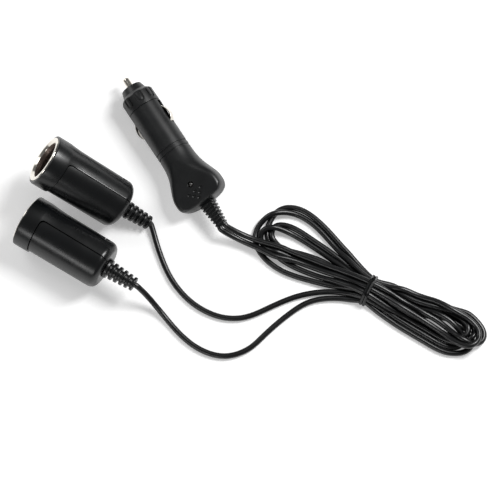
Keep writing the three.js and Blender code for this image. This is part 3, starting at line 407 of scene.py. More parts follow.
def rounded(profile: Sequence[Point], radius: float, closed: bool = False, steps: int = 4) -> list[Point]:
    """Rounds the corners of an outline.

    Args:
        profile: its corners. A corner may carry its own radius as a third number.
        radius: the radius of the corners that carry none.
        closed: whether the outline closes on itself; the ends of an open one stay sharp.
        steps: how many edges a rounded corner gets.

    Returns:
        The outline's points.
    """
    result: list[Point] = []
    count = len(profile)
    for i, corner in enumerate(profile):
        here = Vector(corner[:2])
        if not closed and i in (0, count - 1):
            result.append(tuple(here))
            continue
        before, after = Vector(profile[i - 1][:2]) - here, Vector(profile[(i + 1) % count][:2]) - here
        wanted = corner[2] if len(corner) > 2 else radius
        half = before.angle(after) / 2 if before.length and after.length else math.pi / 2
        reach = min(wanted / max(math.tan(half), 1e-6), before.length * 0.48, after.length * 0.48)
        if wanted <= 0 or math.pi / 2 - half < 0.05:
            result.append(tuple(here))
            continue
        start, end = here + before.normalized() * reach, here + after.normalized() * reach
        for k in range(steps + 1):
            t = k / steps
            spot = start * (1 - t) ** 2 + here * 2 * t * (1 - t) + end * t ** 2
            result.append(tuple(spot))
    return result


def extruded(name: str, outline: Sequence[Point], low: float, high: float) -> bpy.types.Object:
    """Makes a prism from an outline in x and y, between two heights."""
    return lofted(name, [[(x, y, z) for x, y in outline] for z in (low, high)])


def block(name: str, x: Point, y: Point, z: Point) -> bpy.types.Object:
    """Makes a box from its lowest and highest place along each axis."""
    return extruded(name, [(x[0], y[0]), (x[1], y[0]), (x[1], y[1]), (x[0], y[1])], z[0], z[1])


def twin(piece: bpy.types.Object, name: str) -> bpy.types.Object:
    """Makes a copy of a piece with a mesh of its own."""
    copy = bpy.data.objects.new(name, piece.data.copy())
    bpy.context.scene.collection.objects.link(copy)
    return copy


def smooth_line(points: Sequence[Point], step: float) -> np.ndarray:
    """Runs a smooth line through points.

    Args:
        points: the points, all in two or all in three dimensions.
        step: the spacing of the result.

    Returns:
        Points evenly spaced along the line, one to a row.
    """
    p = np.array([2 * np.array(points[0]) - points[1], *points, 2 * np.array(points[-1]) - points[-2]], float)
    fine = []
    for a, b, c, d in zip(p, p[1:], p[2:], p[3:]):
        parts = max(4, int(np.linalg.norm(c - b) * 2.2 / step))
        for t in np.arange(parts) / parts:
            fine.append(0.5 * (2 * b + (c - a) * t + (2 * a - 5 * b + 4 * c - d) * t ** 2
                               + (3 * b - a - 3 * c + d) * t ** 3))
    fine = np.array(fine + [p[-2]])
    travel = np.concatenate([[0], np.cumsum(np.linalg.norm(np.diff(fine, axis=0), axis=1))])
    marks = np.linspace(0, travel[-1], max(2, int(round(travel[-1] / step)) + 1))
    return np.stack([np.interp(marks, travel, fine[:, k]) for k in range(fine.shape[1])], axis=1)


def stadium(length: float, width: float, grow: float = 0.0, steps: int = 12) -> list[Point]:
    """Gives an outline that is square at x = 0 and round at its far end.

    Args:
        length: its length in millimetres.
        width: its width in millimetres.
        grow: how far it is offset outwards.
        steps: how many edges its round end has.

    Returns:
        The outline's points.
    """
    r = width / 2 + grow
    arc = [math.pi * (i / steps - 0.5) for i in range(steps + 1)]
    middle = length - width / 2
    return [(-grow, -r), *((middle + r * math.cos(a), r * math.sin(a)) for a in arc), (-grow, r)]


def soft_box(width: float, height: float, corner: float, steps: int = 5) -> list[Point]:
    """Gives a rectangle's outline with round corners, as points across and up."""
    w, h = width / 2, height / 2
    corners = [(w, -h), (w, h), (-w, h), (-w, -h)]
    return rounded(corners, corner, closed=True, steps=steps)


def post(name: str, x: float, y: float, profile: Sequence[Point], sides: int = 48) -> bpy.types.Object:
    """Makes a piece turned about an upright axis.

    Args:
        name: the object's name.
        x: the axis's place.
        y: the axis's place.
        profile: height and radius pairs in millimetres.
        sides: how many facets go round.

    Returns:
        The object.
    """
    return shifted(spun(turned(name, profile, sides), -90, "Y"), x, y, 0)


def drill(radius: float, low: float, high: float, flare: float = 0.0) -> list[Point]:
    """Gives a drill's profile. One with a flare has a chamfer at its high end and a softer foot."""
    if not flare:
        return [(low, 0), (low, radius), (high, radius), (high, 0)]
    return [(low, 0), (low, radius * 0.8), (low + radius * 0.2, radius), (high - flare, radius),
            (high + flare, radius + 2 * flare), (high + 4, radius + 2 * flare), (high + 4, 0)]


def placed(piece: bpy.types.Object, matrix: Matrix) -> bpy.types.Object:
    """Moves a piece's mesh by a matrix, so that its object stays at the origin, and returns it."""
    piece.data.transform(matrix)
    piece.data.update()
    return piece


def spun(piece: bpy.types.Object, angle: float, axis: str = "X") -> bpy.types.Object:
    """Turns a piece's mesh about an axis through the origin, by an angle in degrees, and returns it."""
    return placed(piece, Matrix.Rotation(math.radians(angle), 4, axis))


def shifted(piece: bpy.types.Object, x: float, y: float, z: float) -> bpy.types.Object:
    """Shifts a piece's mesh by millimetres and returns it."""
    return placed(piece, Matrix.Translation(Vector((x, y, z)) * MM))


def baked(piece: bpy.types.Object) -> bpy.types.Object:
    """Makes a piece's modifiers part of its mesh.

    Args:
        piece: the object.

    Returns:
        The same object, with no modifiers.
    """
    graph = bpy.context.evaluated_depsgraph_get()
    mesh = bpy.data.meshes.new_from_object(piece.evaluated_get(graph))
    piece.modifiers.clear()
    piece.data = mesh
    return piece


class Cut(str, Enum):
    """What a boolean does with its tool."""

    AWAY = "DIFFERENCE"
    SHARED = "INTERSECT"
    JOINED = "UNION"


def carved(piece: bpy.types.Object, *tools: bpy.types.Object, how: Cut = Cut.AWAY) -> bpy.types.Object:
    """Cuts a piece with tools, or joins them, and deletes the tools.

    Args:
        piece: the object that stays.
        *tools: closed objects.
        how: what is done with each tool.

    Returns:
        The piece.
    """
    for tool in tools:
        modifier = piece.modifiers.new("carve", "BOOLEAN")
        modifier.object = tool
        modifier.operation = how.value
        modifier.solver = "EXACT"
        baked(piece)
        bpy.data.objects.remove(tool)
    return piece


def merged(name: str, *pieces: bpy.types.Object) -> bpy.types.Object:
    """Puts the meshes of several objects into one object and deletes them.

    Args:
        name: the new object's name.
        *pieces: the objects.

    Returns:
        The new object.
    """
    points: list[Vector] = []
    faces: list[list[int]] = []
    for piece in pieces:
        start = len(points)
        points += [v.co.copy() for v in piece.data.vertices]
        faces += [[start + i for i in p.vertices] for p in piece.data.polygons]
        bpy.data.objects.remove(piece)
    mesh = bpy.data.meshes.new(name)
    mesh.from_pydata(points, [], faces)
    result = bpy.data.objects.new(name, mesh)
    bpy.context.scene.collection.objects.link(result)
    return result


class Tree:
    """A Geometry Nodes tree with named inputs. What it makes joins the mesh that it is run on."""

    NAME: str
    INPUTS: tuple[tuple[str, str], ...]

    def __init__(self) -> None:
        """Builds the tree: its inputs, its own nodes, and the join and the finish that end it."""
        self.tree = bpy.data.node_groups.new(self.NAME, "GeometryNodeTree")
        face = self.tree.interface
        for name, kind in (("Geometry", "Geometry"), *self.INPUTS, ("Finish", "Material")):
            face.new_socket(name, in_out="INPUT", socket_type=f"NodeSocket{kind}")
        face.new_socket("Geometry", in_out="OUTPUT", socket_type="NodeSocketGeometry")
        self.given = self.node("NodeGroupInput").outputs
        own = self.made()
        both = self.node("GeometryNodeJoinGeometry", {0: self.given["Geometry"]})
        self.tree.links.new(own, both.inputs[0])
        real = self.node("GeometryNodeRealizeInstances", {0: both.outputs[0]})
        finish = self.node("GeometryNodeSetMaterial", {"Geometry": real.outputs[0],
                                                       "Material": self.given["Finish"]})
        self.node("NodeGroupOutput", {0: finish.outputs[0]})

    def node(self, kind: str, inputs: dict[str | int, object] | None = None,
             **settings: object) -> bpy.types.Node:
        """Adds a node.

        Args:
            kind: the node's type.
            inputs: a socket or a plain value for each input that is fed, by its name or number.
            **settings: the node's own properties.

        Returns:
            The new node.
        """
        node = self.tree.nodes.new(kind)
        for name, value in settings.items():
            setattr(node, name, value)
        for name, value in (inputs or {}).items():
            if isinstance(value, bpy.types.NodeSocket):
                self.tree.links.new(value, node.inputs[name])
            else:
                node.inputs[name].default_value = value
        return node

    def made(self) -> bpy.types.NodeSocket:
        """Adds the nodes of the tree's own kind and returns the geometry that they make."""
        raise NotImplementedError

    def applied(self, base: bpy.types.Object, values: dict[str, object]) -> bpy.types.Object:
        """Runs the tree on an object.

        Args:
            base: the object.
            values: the value of each named input.

        Returns:
            The object, as a plain mesh.
        """
        modifier = base.modifiers.new(self.NAME, "NODES")
        modifier.node_group = self.tree
        for item in self.tree.interface.items_tree:
            if item.in_out == "INPUT" and item.name in values:
                modifier[item.identifier] = values[item.name]
        return baked(base)


class Repeater(Tree):
    """Repeats a piece: each copy is moved, turned and scaled a step further."""

    NAME = "repeated_piece"
    INPUTS = (("Piece", "Object"), ("Count", "Int"), ("Start", "Vector"), ("Step", "Vector"),
              ("Turn", "Vector"), ("First Scale", "Float"), ("Last Scale", "Float"))

    def made(self) -> bpy.types.NodeSocket:
        """Adds the nodes that set a copy of the piece on each point of a line."""
        given = self.given
        line = self.node("GeometryNodeMeshLine", {"Count": given["Count"], "Start Location": given["Start"],
                                                  "Offset": given["Step"]})
        info = self.node("GeometryNodeObjectInfo", {"Object": given["Piece"]})
        index = self.node("GeometryNodeInputIndex").outputs[0]
        turn = self.node("ShaderNodeVectorMath", {0: given["Turn"], "Scale": index}, operation="SCALE")
        last = self.node("ShaderNodeMath", {0: given["Count"], 1: 1}, operation="SUBTRACT")
        share = self.node("ShaderNodeMapRange", {
            "Value": index, "From Max": last.outputs[0], "To Min": given["First Scale"],
            "To Max": given["Last Scale"]})
        copies = self.node("GeometryNodeInstanceOnPoints", {
            "Points": line.outputs["Mesh"], "Instance": info.outputs["Geometry"],
            "Rotation": turn.outputs[0], "Scale": share.outputs["Result"]})
        return copies.outputs[0]

    def run(self, base: bpy.types.Object, piece: bpy.types.Object, finish: bpy.types.Material, count: int,
            start: Point = (0, 0, 0), step: Point = (0, 0, 0), turn: float = 0.0,
            scales: tuple[float, float] = (1.0, 1.0)) -> bpy.types.Object:
        """Adds copies of a piece to a base, and deletes the piece.

        Args:
            base: the object that the copies join.
            piece: the object that is repeated.
            finish: the material of the whole.
            count: how many copies.
            start: where the first copy lies, in millimetres.
            step: how far each copy lies from the one before, in millimetres.
            turn: how far each copy is turned about X from the one before, in degrees.
            scales: the first and the last copy's scale.

        Returns:
            The base, as a plain mesh.
        """
        self.applied(base, {
            "Piece": piece, "Count": count, "Start": Vector(start) * MM, "Step": Vector(step) * MM,
            "Turn": Vector((math.radians(turn), 0, 0)), "First Scale": scales[0], "Last Scale": scales[1],
            "Finish": finish,
        })
        bpy.data.objects.remove(piece)
        return base


class Coiler(Tree):
    """Winds a round wire into a helix along X."""

    NAME = "wound_wire"
    INPUTS = (("Radius", "Float"), ("Length", "Float"), ("Turns", "Float"), ("Wire Radius", "Float"))
    TURN_EDGES = 28
    WIRE_EDGES = 10

    def made(self) -> bpy.types.NodeSocket:
        """Adds the nodes that draw a round section along a spiral and lay it along X."""
        given = self.given
        spiral = self.node("GeometryNodeCurveSpiral", {
            "Resolution": self.TURN_EDGES, "Rotations": given["Turns"], "Start Radius": given["Radius"],
            "End Radius": given["Radius"], "Height": given["Length"]})
        section = self.node("GeometryNodeCurvePrimitiveCircle", {"Resolution": self.WIRE_EDGES,
                                                                 "Radius": given["Wire Radius"]})
        wire = self.node("GeometryNodeCurveToMesh", {
            "Curve": spiral.outputs[0], "Profile Curve": section.outputs["Curve"], "Fill Caps": True})
        lay = self.node("GeometryNodeTransform", {"Geometry": wire.outputs[0],
                                                  "Rotation": (0, math.pi / 2, 0)})
        return lay.outputs[0]

    def run(self, name: str, radius: float, length: float, turns: float, wire: float,
            finish: bpy.types.Material) -> bpy.types.Object:
        """Makes a wound wire that starts at the origin.

        Args:
            name: the object's name.
            radius: from the axis to the wire's middle, in millimetres.
            length: along the axis, in millimetres.
            turns: how often it goes round.
            wire: the wire's radius in millimetres.
            finish: its material.

        Returns:
            The wire, as a plain mesh.
        """
        coil = bpy.data.objects.new(name, bpy.data.meshes.new(name))
        bpy.context.scene.collection.objects.link(coil)
        return outward(self.applied(coil, {
            "Radius": radius * MM, "Length": length * MM, "Turns": turns, "Wire Radius": wire * MM,
            "Finish": finish,
        }))


@dataclass
class Workshop:
    """What every sub-assembly needs: the finishes and the Geometry Nodes trees."""

    finishes: dict[str, bpy.types.Material] = field(default_factory=lambda: Finishes().made())
    repeater: Repeater = field(default_factory=Repeater)
    coiler: Coiler = field(default_factory=Coiler)

    def dress(self, piece: bpy.types.Object, finish: str, slot: Slot, body: Body, *nodes: str,
              smooth: float = 30.0) -> bpy.types.Object:
        """Gives a piece its finish, its body and the nodes that it stands for.

        Args:
            piece: the object, in the part's frame.
            finish: the finish's name.
            slot: the record's slot that the finish belongs to; not used.
            body: the body that it rides on.
            *nodes: the CAD nodes that it stands for.
            smooth: edges sharper than this many degrees stay sharp in the shading.

        Returns:
            The piece.
        """
        piece.data.materials.clear()
        piece.data.materials.append(self.finishes[finish])
        if piece.type == "MESH":
            piece.data.shade_smooth()
            piece.data.set_sharp_from_angle(angle=math.radians(smooth))
        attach(piece, body.value)
        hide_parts(*nodes)
        log.info("%s stands for %s", piece.name, ", ".join(nodes))
        return piece

    def paint(self, finish: str, *nodes: str) -> None:
        """Gives CAD nodes that stay in view a finish."""
        for node in nodes:
            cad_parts[node].data.materials.clear()
            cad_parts[node].data.materials.append(self.finishes[finish])
            log.info("%s is finished as %s", node, finish)


PLUG_PLACE = Placement((-21.5, 48.7, 10.7), -25.6, 0, 22)
LOWER_PLACE = Placement((-43.2, -45.9, 15.8), 0, 0, -8.4)
UPPER_PLACE = Placement((-50, -13.6, 36.3), 4.9, 26, -8.4)


@dataclass(frozen=True)
class SoftBox:
    """A lamp with a broad square face: its place, what it aims at and its size in millimetres."""

    name: str
    place: Point
    aim: Point
    size: tuple[float, float]
    watts: float

    def hang(self) -> None:
        """Makes the lamp."""
        data = bpy.data.lights.new(self.name, "AREA")
        data.shape = "RECTANGLE"
        data.size, data.size_y = [side * MM for side in self.size]
        data.energy = self.watts
        lamp = bpy.data.objects.new(self.name, data)
        lamp.location = Vector(self.place) * MM
        lamp.rotation_mode = "QUATERNION"
        lamp.rotation_quaternion = (Vector(self.aim) - Vector(self.place)).to_track_quat("-Z", "Y")
        bpy.context.scene.collection.objects.link(lamp)


@dataclass
class Studio:
    """The floor, the lamps and the camera."""

    look_at: tuple[float, float, float] = (75.2, 10.0, 0.0)
    azimuth: float = 31.5
    elevation: float = 76.4
    lens: float = 200.0
    sensor: float = 36.0
    frame_width: float = 294.1
    floor_reach: float = 4000.0
    floor_grey: float = 0.9
    floor_glow: float = 0.3
    room_light: float = 0.16
    lamps: tuple[SoftBox, ...] = (
        SoftBox("key", (325, 540, 750), (60, 10, 0), (260, 420), 8.0),
        SoftBox("fill", (-545, 90, 450), (0, 0, 0), (260, 520), 1.2),
        SoftBox("rim", (60, -780, 420), (60, 0, 0), (700, 200), 2.0),
    )

    def build(self) -> None:
        """Makes the camera, the floor, the lamps and the world."""
        bpy.context.scene.view_settings.view_transform = "Standard"
        self.camera()
        self.floor()
        for lamp in self.lamps:
            lamp.hang()
        self.world()

    def camera(self) -> None:
        """Puts the camera at the photograph's angle."""
        data = bpy.data.cameras.new("camera")
        data.lens, data.sensor_width = self.lens, self.sensor
        data.clip_start, data.clip_end = 0.05, 20
        camera = bpy.data.objects.new("camera", data)
        a, e = math.radians(self.azimuth), math.radians(self.elevation)
        back = Vector((math.sin(a) * math.cos(e), -math.cos(a) * math.cos(e), math.sin(e)))
        away = self.frame_width * self.lens / self.sensor
        camera.location = (Vector(self.look_at) + back * away) * MM
        camera.rotation_mode = "QUATERNION"
        camera.rotation_quaternion = (-back).to_track_quat("-Z", "Y")
        bpy.context.scene.collection.objects.link(camera)
        bpy.context.scene.camera = camera

    def floor(self) -> None:
        """Lays a white floor that shows as white to the camera and keeps the shadow."""
        reach = self.floor_reach
        corners = [(-reach, -reach, 0), (reach, -reach, 0), (reach, reach, 0), (-reach, reach, 0)]
        floor = mesh_piece("floor", corners, [(0, 1, 2, 3)])
        recipe = Recipe("white_floor")
        recipe.set(Base_Color=(*[self.floor_grey] * 3, 1), Roughness=0.9, Specular_IOR_Level=0.1)
        path = recipe.add("ShaderNodeLightPath")
        glow = recipe.add("ShaderNodeMath", operation="MAXIMUM")
        recipe.join(path.outputs["Is Camera Ray"], glow, 0)
        recipe.join(path.outputs["Is Glossy Ray"], glow, 1)
        share = recipe.add("ShaderNodeMath", operation="MULTIPLY")
        recipe.join(glow.outputs[0], share, 0)
        recipe.join(self.floor_glow, share, 1)
        recipe.set(Emission_Color=(1, 1, 1, 1), Emission_Strength=share.outputs[0])
        floor.data.materials.append(recipe.material)

    def world(self) -> None:
        """Fills the shadows from all round, and shows white where nothing else is seen."""
        world = bpy.data.worlds.new("studio")
        world.use_nodes = True
        nodes, link = world.node_tree.nodes, world.node_tree.links.new
        background = nodes["Background"]
        background.inputs["Color"].default_value = (1, 1, 1, 1)
        path = nodes.new("ShaderNodeLightPath")
        strength = nodes.new("ShaderNodeMapRange")
        link(path.outputs["Is Camera Ray"], strength.inputs["Value"])
        strength.inputs["To Min"].default_value = self.room_light
        strength.inputs["To Max"].default_value = 1.0
        link(strength.outputs["Result"], background.inputs["Strength"])
        bpy.context.scene.world = world


@dataclass
class Tie:
    """The strap round the hank, and the places of the twelve strands inside it."""

    centre: tuple[float, float] = (147.4, 24.9)
    yaw: float = 5.0
    width: float = 3.4
    pitch: float = 3.5
    lowest: float = 2.75
    rise: float = 2.98
    strand_radius: float = 1.75
    slack: float = 0.4
    stub_start: tuple[float, float, float] = (0, 5.4, 10.0)
    stub_length: float = 2.2

    def strand(self, column: float, row: int, along: float = 0.0) -> tuple[float, float, float]:
        """Gives a strand's place.

        Args:
            column: how many pitches it lies to the north of the middle.
            row: 0 at the bottom.
            along: how far towards the hank's right end, in millimetres.

        Returns:
            The point in the part's frame, in millimetres.
        """
        a = math.radians(self.yaw)
        aside = column * self.pitch
        x = self.centre[0] + along * math.cos(a) - aside * math.sin(a)
        y = self.centre[1] + along * math.sin(a) + aside * math.cos(a)
        return (x, y, self.lowest + self.rise * row)

    def build(self, shop: Workshop) -> None:
        """Makes the strap: a band with two raised strands, drawn round the cords and twisted shut."""
        reach = self.strand_radius + self.slack
        hull = [(2 * self.pitch, 0), (self.pitch, 2), (-self.pitch, 2), (-2 * self.pitch, 0)]
        corners = [Vector((aside, self.lowest + self.rise * row)) for aside, row in hull]
        line: list[tuple[Vector, Vector]] = []
        for i, spot in enumerate(corners):
            before, after = spot - corners[i - 1], corners[(i + 1) % 4] - spot
            first, last = [math.atan2(-edge.x, edge.y) for edge in (before, after)]
            last += 2 * math.pi if last < first else 0
            for angle in np.linspace(first, last, 9):
                out = Vector((math.cos(angle), math.sin(angle)))
                line.append((spot + out * reach, out))
        side = ((0.34, 0.66), (0.8, 0.86), (1.3, 0.72), (1.62, 0.3), (1.5, -0.22))
        section = (*((-along, up) for along, up in reversed(side)), (0, 0.24), *side)
        half = self.width / 3
        rings = [[(along * half, (spot + out * up).x, (spot + out * up).y) for along, up in section]
                 for spot, out in line]
        band = lofted("band", rings, looped=True)
        start, heading = Vector(self.stub_start), Vector((0, 0.83, 0.1)).normalized()
        twist = []
        for t in np.linspace(0, 1, 30):
            a = 3 * math.pi * t
            aside = Vector((math.cos(a), 0, math.sin(a)))
            over = Vector((-math.sin(a), 0, math.cos(a)))
            twist.append([start + heading * self.stub_length * t + aside * u * (1.25 - 0.3 * t) + over * v
                          for u, v in soft_box(2, 0.7, 0.2, 2)])
        strap = merged("twisted_strap", band, lofted("stub", twist))
        placed(strap, Matrix.Rotation(math.radians(self.yaw), 4, "Z"))
        shifted(strap, *self.centre, 0)
        shop.dress(strap, "strap", Slot.PLASTIC, Body.HOUSINGS, "cord_tie")


@dataclass
class Cords:
    """The two cords: each goes from the plug through the hank and its tie to one socket."""

    diameter: float = 3.4
    spacing: float = 2.2
    rounds: int = 260
    sort_every: int = 8
    least_bend: float = 7.4
    clearance: float = 1.03
    own_reach: float = 2.4
    search_reach: float = 1.8
    push: float = 1.5
    smoothing: float = 0.2
    straightening: float = 0.3
    tension: float = 0.25
    memory: float = 0.02
    sinking: float = 0.05
    tie_lean: float = 0.087
    tie_reach: tuple[float, float] = (2.2, 12.0)
    seat_gap: float = 0.3
    straight: float = 3.0
    plug_exit: float = 84.4
    socket_exit: float = 73.4
    tie: Tie = field(default_factory=Tie)

    def routes(self) -> list[list[Point]]:
        """Returns each cord's route, from the plug to its socket, as listed points."""
        tie = self.tie.strand
        side = (self.diameter + self.seat_gap) / 2
        steps = (0, self.straight / 2, self.straight)
        starts = [[PLUG_PLACE.point(self.plug_exit + step, s * side, 0) for step in steps] for s in (1, -1)]
        ends = [[place.point(self.socket_exit + step, 0, 0) for step in reversed(steps)]
                for place in (UPPER_PLACE, LOWER_PLACE)]
        first = starts[0] + [
            (75.1, 15.6, 6.2), (85.4, 17.5, 5.9), (100.7, 21.4, 6.3), (118.9, 24.4, 7.4),
            (134, 27.4, 8.4), tie(1, 2), (158, 29.4, 8.6), (166, 29.4, 8.6), (179, 30.2, 8.4),
            (191, 30.6, 8), (203, 28, 7.4), (212, 26.4, 6.2), (219, 29.4, 4.8), (221.2, 35.8, 3.6),
            (216.6, 41, 2.6), (208.6, 42.6, 2), (199.5, 41.8, 1.7), (188, 39.4, 1.7), (174.9, 36.8, 1.7),
            (162.8, 34.2, 1.9), tie(2, 0), (131.9, 35.7, 1.7), (117.9, 40, 1.7), (103.5, 45, 1.7),
            (94, 47, 1.7), (86, 46.6, 1.7), (79, 43.4, 1.7), (75.6, 37.6, 1.7), (75.8, 31, 1.7),
            (78, 25.4, 1.7), (82.8, 19.8, 1.7), (89.5, 15.6, 1.7), (97, 13.9, 1.7), (105.2, 14.4, 1.7),
            (120.8, 17.2, 3), (134.4, 20.4, 6.6), tie(-1, 2), (160, 22.2, 7.4), (172, 22.6, 6.2),
            (186, 23.4, 5.2), (198, 23.4, 5), (207.4, 24, 5), (215, 28.6, 5), (215.2, 36, 5),
            (208.4, 40.4, 5), (199, 40, 5), (187, 36.8, 5), (174, 33.4, 4.6), (160, 30.6, 3.6), tie(1, 0),
            (131, 31.4, 2), (112.4, 33, 1.7), (99.4, 34.4, 2.4), (89.7, 34.8, 4.6), (81.6, 32.4, 5.1),
            (77, 26.4, 5.1), (80.4, 20, 5.1), (89.4, 19, 3.4), (103, 22.8, 1.7), (116.3, 26, 1.7),
            (132, 26.4, 2), tie(0, 0), (157, 26.6, 1.9), (170, 29.4, 1.7), (184, 32.6, 1.7),
            (197, 35.2, 1.9), (206, 34, 2.2), (211.8, 27.6, 3), (207.6, 20.8, 4.6), (198.8, 18.4, 4.9),
            (186.6, 18.8, 4.9), (172.4, 19.4, 5), (160, 20.2, 5.4), tie(-1.5, 1), (141, 18.9, 4.2),
            (135.4, 17.1, 2.2), (124.7, 10.6, 1.7), (113.6, 0.9, 1.7), (104.4, -11.9, 1.7),
            (97.6, -23.1, 1.7), (90.9, -29.9, 1.7), (79.1, -35, 1.7), (62.3, -35.5, 1.7),
            (45, -29.7, 1.7), (29.1, -18.1, 1.9),
        ] + ends[0]
        second = starts[1] + [
            (75.1, 12.1, 6.2), (85.4, 14, 5.9), (100.7, 17.8, 6.3), (118.9, 20.8, 7.4), (134, 23.6, 8.4),
            tie(0, 2), (158, 25.6, 8.6), (168.6, 25, 8.6), (181.6, 25.6, 8.4), (196, 25.4, 8.2),
            (207, 23.4, 8), (215.4, 25.8, 8), (219, 32, 8), (214.6, 38.6, 7.4), (206, 40.6, 6.4),
            (198, 39.4, 5.2), (187, 38.2, 5), (174, 35.6, 5), (161, 32.6, 5.4), tie(1.5, 1),
            (134, 31.6, 5), (126.9, 33.4, 3.4), (107.6, 40.9, 1.7), (93.1, 43.4, 1.7), (84, 42, 3),
            (77, 37.6, 5.1), (72.6, 30.6, 3.4), (71.2, 23.4, 1.7), (73.4, 16.6, 1.7), (78, 12.2, 1.7),
            (84.4, 9.4, 1.7), (93.9, 8, 1.7), (100.5, 8.5, 1.7), (107.9, 10.1, 1.7), (122.4, 14.6, 2.2),
            (135.7, 20.2, 4.4), tie(-0.5, 1), (160, 24.4, 5), (172, 25, 4.8), (186, 25.6, 4.6),
            (197, 24.2, 4.4), (206.4, 24.4, 4.2), (212.4, 30.6, 3.8), (208.6, 37.4, 3), (199, 39, 2.2),
            (187, 36.4, 1.9), (172, 32.4, 2.4), (160, 29.4, 4), tie(0.5, 1), (134, 28.6, 5.6),
            (113.4, 30.8, 5), (100.9, 30.9, 5), (89.5, 30.8, 7.6), (79.8, 28.6, 8.4), (74, 22.4, 7.4),
            (77.4, 15.8, 5.6), (88.6, 15.2, 5.2), (103, 20.2, 3.4), (116.3, 23.4, 1.7), (132, 22.6, 2),
            tie(-1, 0), (156, 22.6, 1.9), (168, 26.4, 1.7), (182, 31, 1.7), (196, 36, 1.7),
            (206, 37.8, 1.7), (214.4, 34, 1.7), (217.2, 27.4, 1.7), (213.8, 21, 1.7), (206.4, 18, 1.7),
            (198.8, 17.3, 1.7), (186.6, 16.9, 1.7), (172.4, 17.5, 1.7), (161.8, 18.1, 1.9), tie(-2, 0),
            (141, 14.8, 2), (134, 12, 1.7), (121, 1.9, 1.7), (114.2, -13, 1.7), (109.3, -28.8, 1.7),
            (106.6, -41.2, 1.7), (96.8, -52.9, 1.7), (82.2, -56.9, 1.7), (67.5, -55.2, 1.7),
            (50.9, -49.6, 4), (39.5, -46.2, 11),
        ] + ends[1]
        return [first, second]

    def settled(self, lines: list[np.ndarray]) -> list[np.ndarray]:
        """Lets the cords come to rest: a diameter apart, on the floor or on each other, and smooth.

        Args:
            lines: each cord's points, in millimetres.

        Returns:
            The points at rest.
        """
        points = np.concatenate(lines)
        home = points.copy()
        strand = np.concatenate([np.full(len(line), k) for k, line in enumerate(lines)])
        order = np.arange(len(points))
        along, aside = self.tie_reach
        firm = np.abs((points[:, :2] - self.tie.centre) @ np.array([1.0, self.tie_lean])) < along
        firm &= np.abs(points[:, 1] - self.tie.centre[1]) < aside
        for first in np.flatnonzero(np.diff(strand, prepend=-1)):
            firm[first:first + 2] = True
        for last in np.flatnonzero(np.diff(strand, append=-1)):
            firm[last - 1:last + 1] = True
        loose = ~firm
        joint = strand[:-1] == strand[1:]
        a, b = order[:-1][joint], order[1:][joint]
        rest = np.linalg.norm(points[b] - points[a], axis=1)
        inner = order[1:-1][(strand[:-2] == strand[1:-1]) & (strand[1:-1] == strand[2:])]
        gap = self.diameter * self.clearance
        reach = int(self.own_reach * self.diameter / self.spacing)
        least_sag = self.spacing ** 2 / (2 * self.least_bend)
        for step in range(self.rounds):
            if step % self.sort_every == 0:
                away = ((points[:, None, :] - points[None, :, :]) ** 2).sum(axis=2)
                i, j = np.nonzero(np.triu(away < (self.search_reach * self.diameter) ** 2, 1))
                keep = (strand[i] != strand[j]) | (j - i > reach)
                i, j = i[keep], j[keep]
            move = np.zeros_like(points)
            hits = np.zeros(len(points))
            apart = points[j] - points[i]
            length = np.maximum(np.linalg.norm(apart, axis=1), 1e-6)
            short = np.maximum(gap - length, 0)
            push = apart / length[:, None] * (short * 0.5)[:, None]
            np.add.at(move, i, -push)
            np.add.at(move, j, push)
            np.add.at(hits, i, short > 0)
            np.add.at(hits, j, short > 0)
            points[loose] += (move / np.maximum(hits, 1)[:, None] * self.push)[loose]
            sag = np.zeros_like(points)
            sag[inner] = (points[inner - 1] + points[inner + 1]) / 2 - points[inner]
            depth = np.maximum(np.linalg.norm(sag, axis=1), 1e-9)[:, None]
            bend = sag * (self.smoothing + self.straightening * np.maximum(1 - least_sag / depth, 0))
            pull = np.zeros_like(points)
            stretch = points[b] - points[a]
            size = np.linalg.norm(stretch, axis=1)
            share = stretch * ((size - rest) / size * self.tension)[:, None]
            np.add.at(pull, a, share)
            np.add.at(pull, b, -share)
            change = bend + pull
            change[:, :2] += (home[:, :2] - points[:, :2]) * self.memory
            change[:, 2] -= self.sinking * (1 - step / self.rounds)
            points[loose] += change[loose]
            points[:, 2] = np.maximum(points[:, 2], self.diameter / 2)
        worst = float(short.max()) if len(short) else 0.0
        log.info("the cords rest, with %.2f mm of the tightest contact left to give", worst)
        return np.split(points, [len(lines[0])])

    def build(self, shop: Workshop) -> list[bpy.types.Object]:
        """Args:
            shop: the finishes.

        Returns:
            The cords.
        """
        lines = self.settled([smooth_line(route, self.spacing) for route in self.routes()])
        cords = []
        for name, line, nodes in zip(
            ("upper_cord", "lower_cord"), lines,
            (("upper_plug_lead", "upper_socket_lead"), ("lower_plug_lead", "lower_socket_lead")),
        ):
            curve = bpy.data.curves.new(name, "CURVE")
            curve.dimensions = "3D"
            curve.bevel_depth = self.diameter / 2 * MM
            curve.bevel_resolution = 8
            curve.use_fill_caps = True
            spline = curve.splines.new("NURBS")
            spline.points.add(len(line) - 1)
            for spot, place in zip(spline.points, line):
                spot.co = (*(place * MM), 1)
            spline.order_u = 4
            spline.use_endpoint_u = True
            spline.resolution_u = 3
            cord = bpy.data.objects.new(name, curve)
            bpy.context.scene.collection.objects.link(cord)
            shop.dress(cord, "cord", Slot.CORD, Body.HOUSINGS, *nodes, "cord_hank")
            cords.append(cord)
        return cords


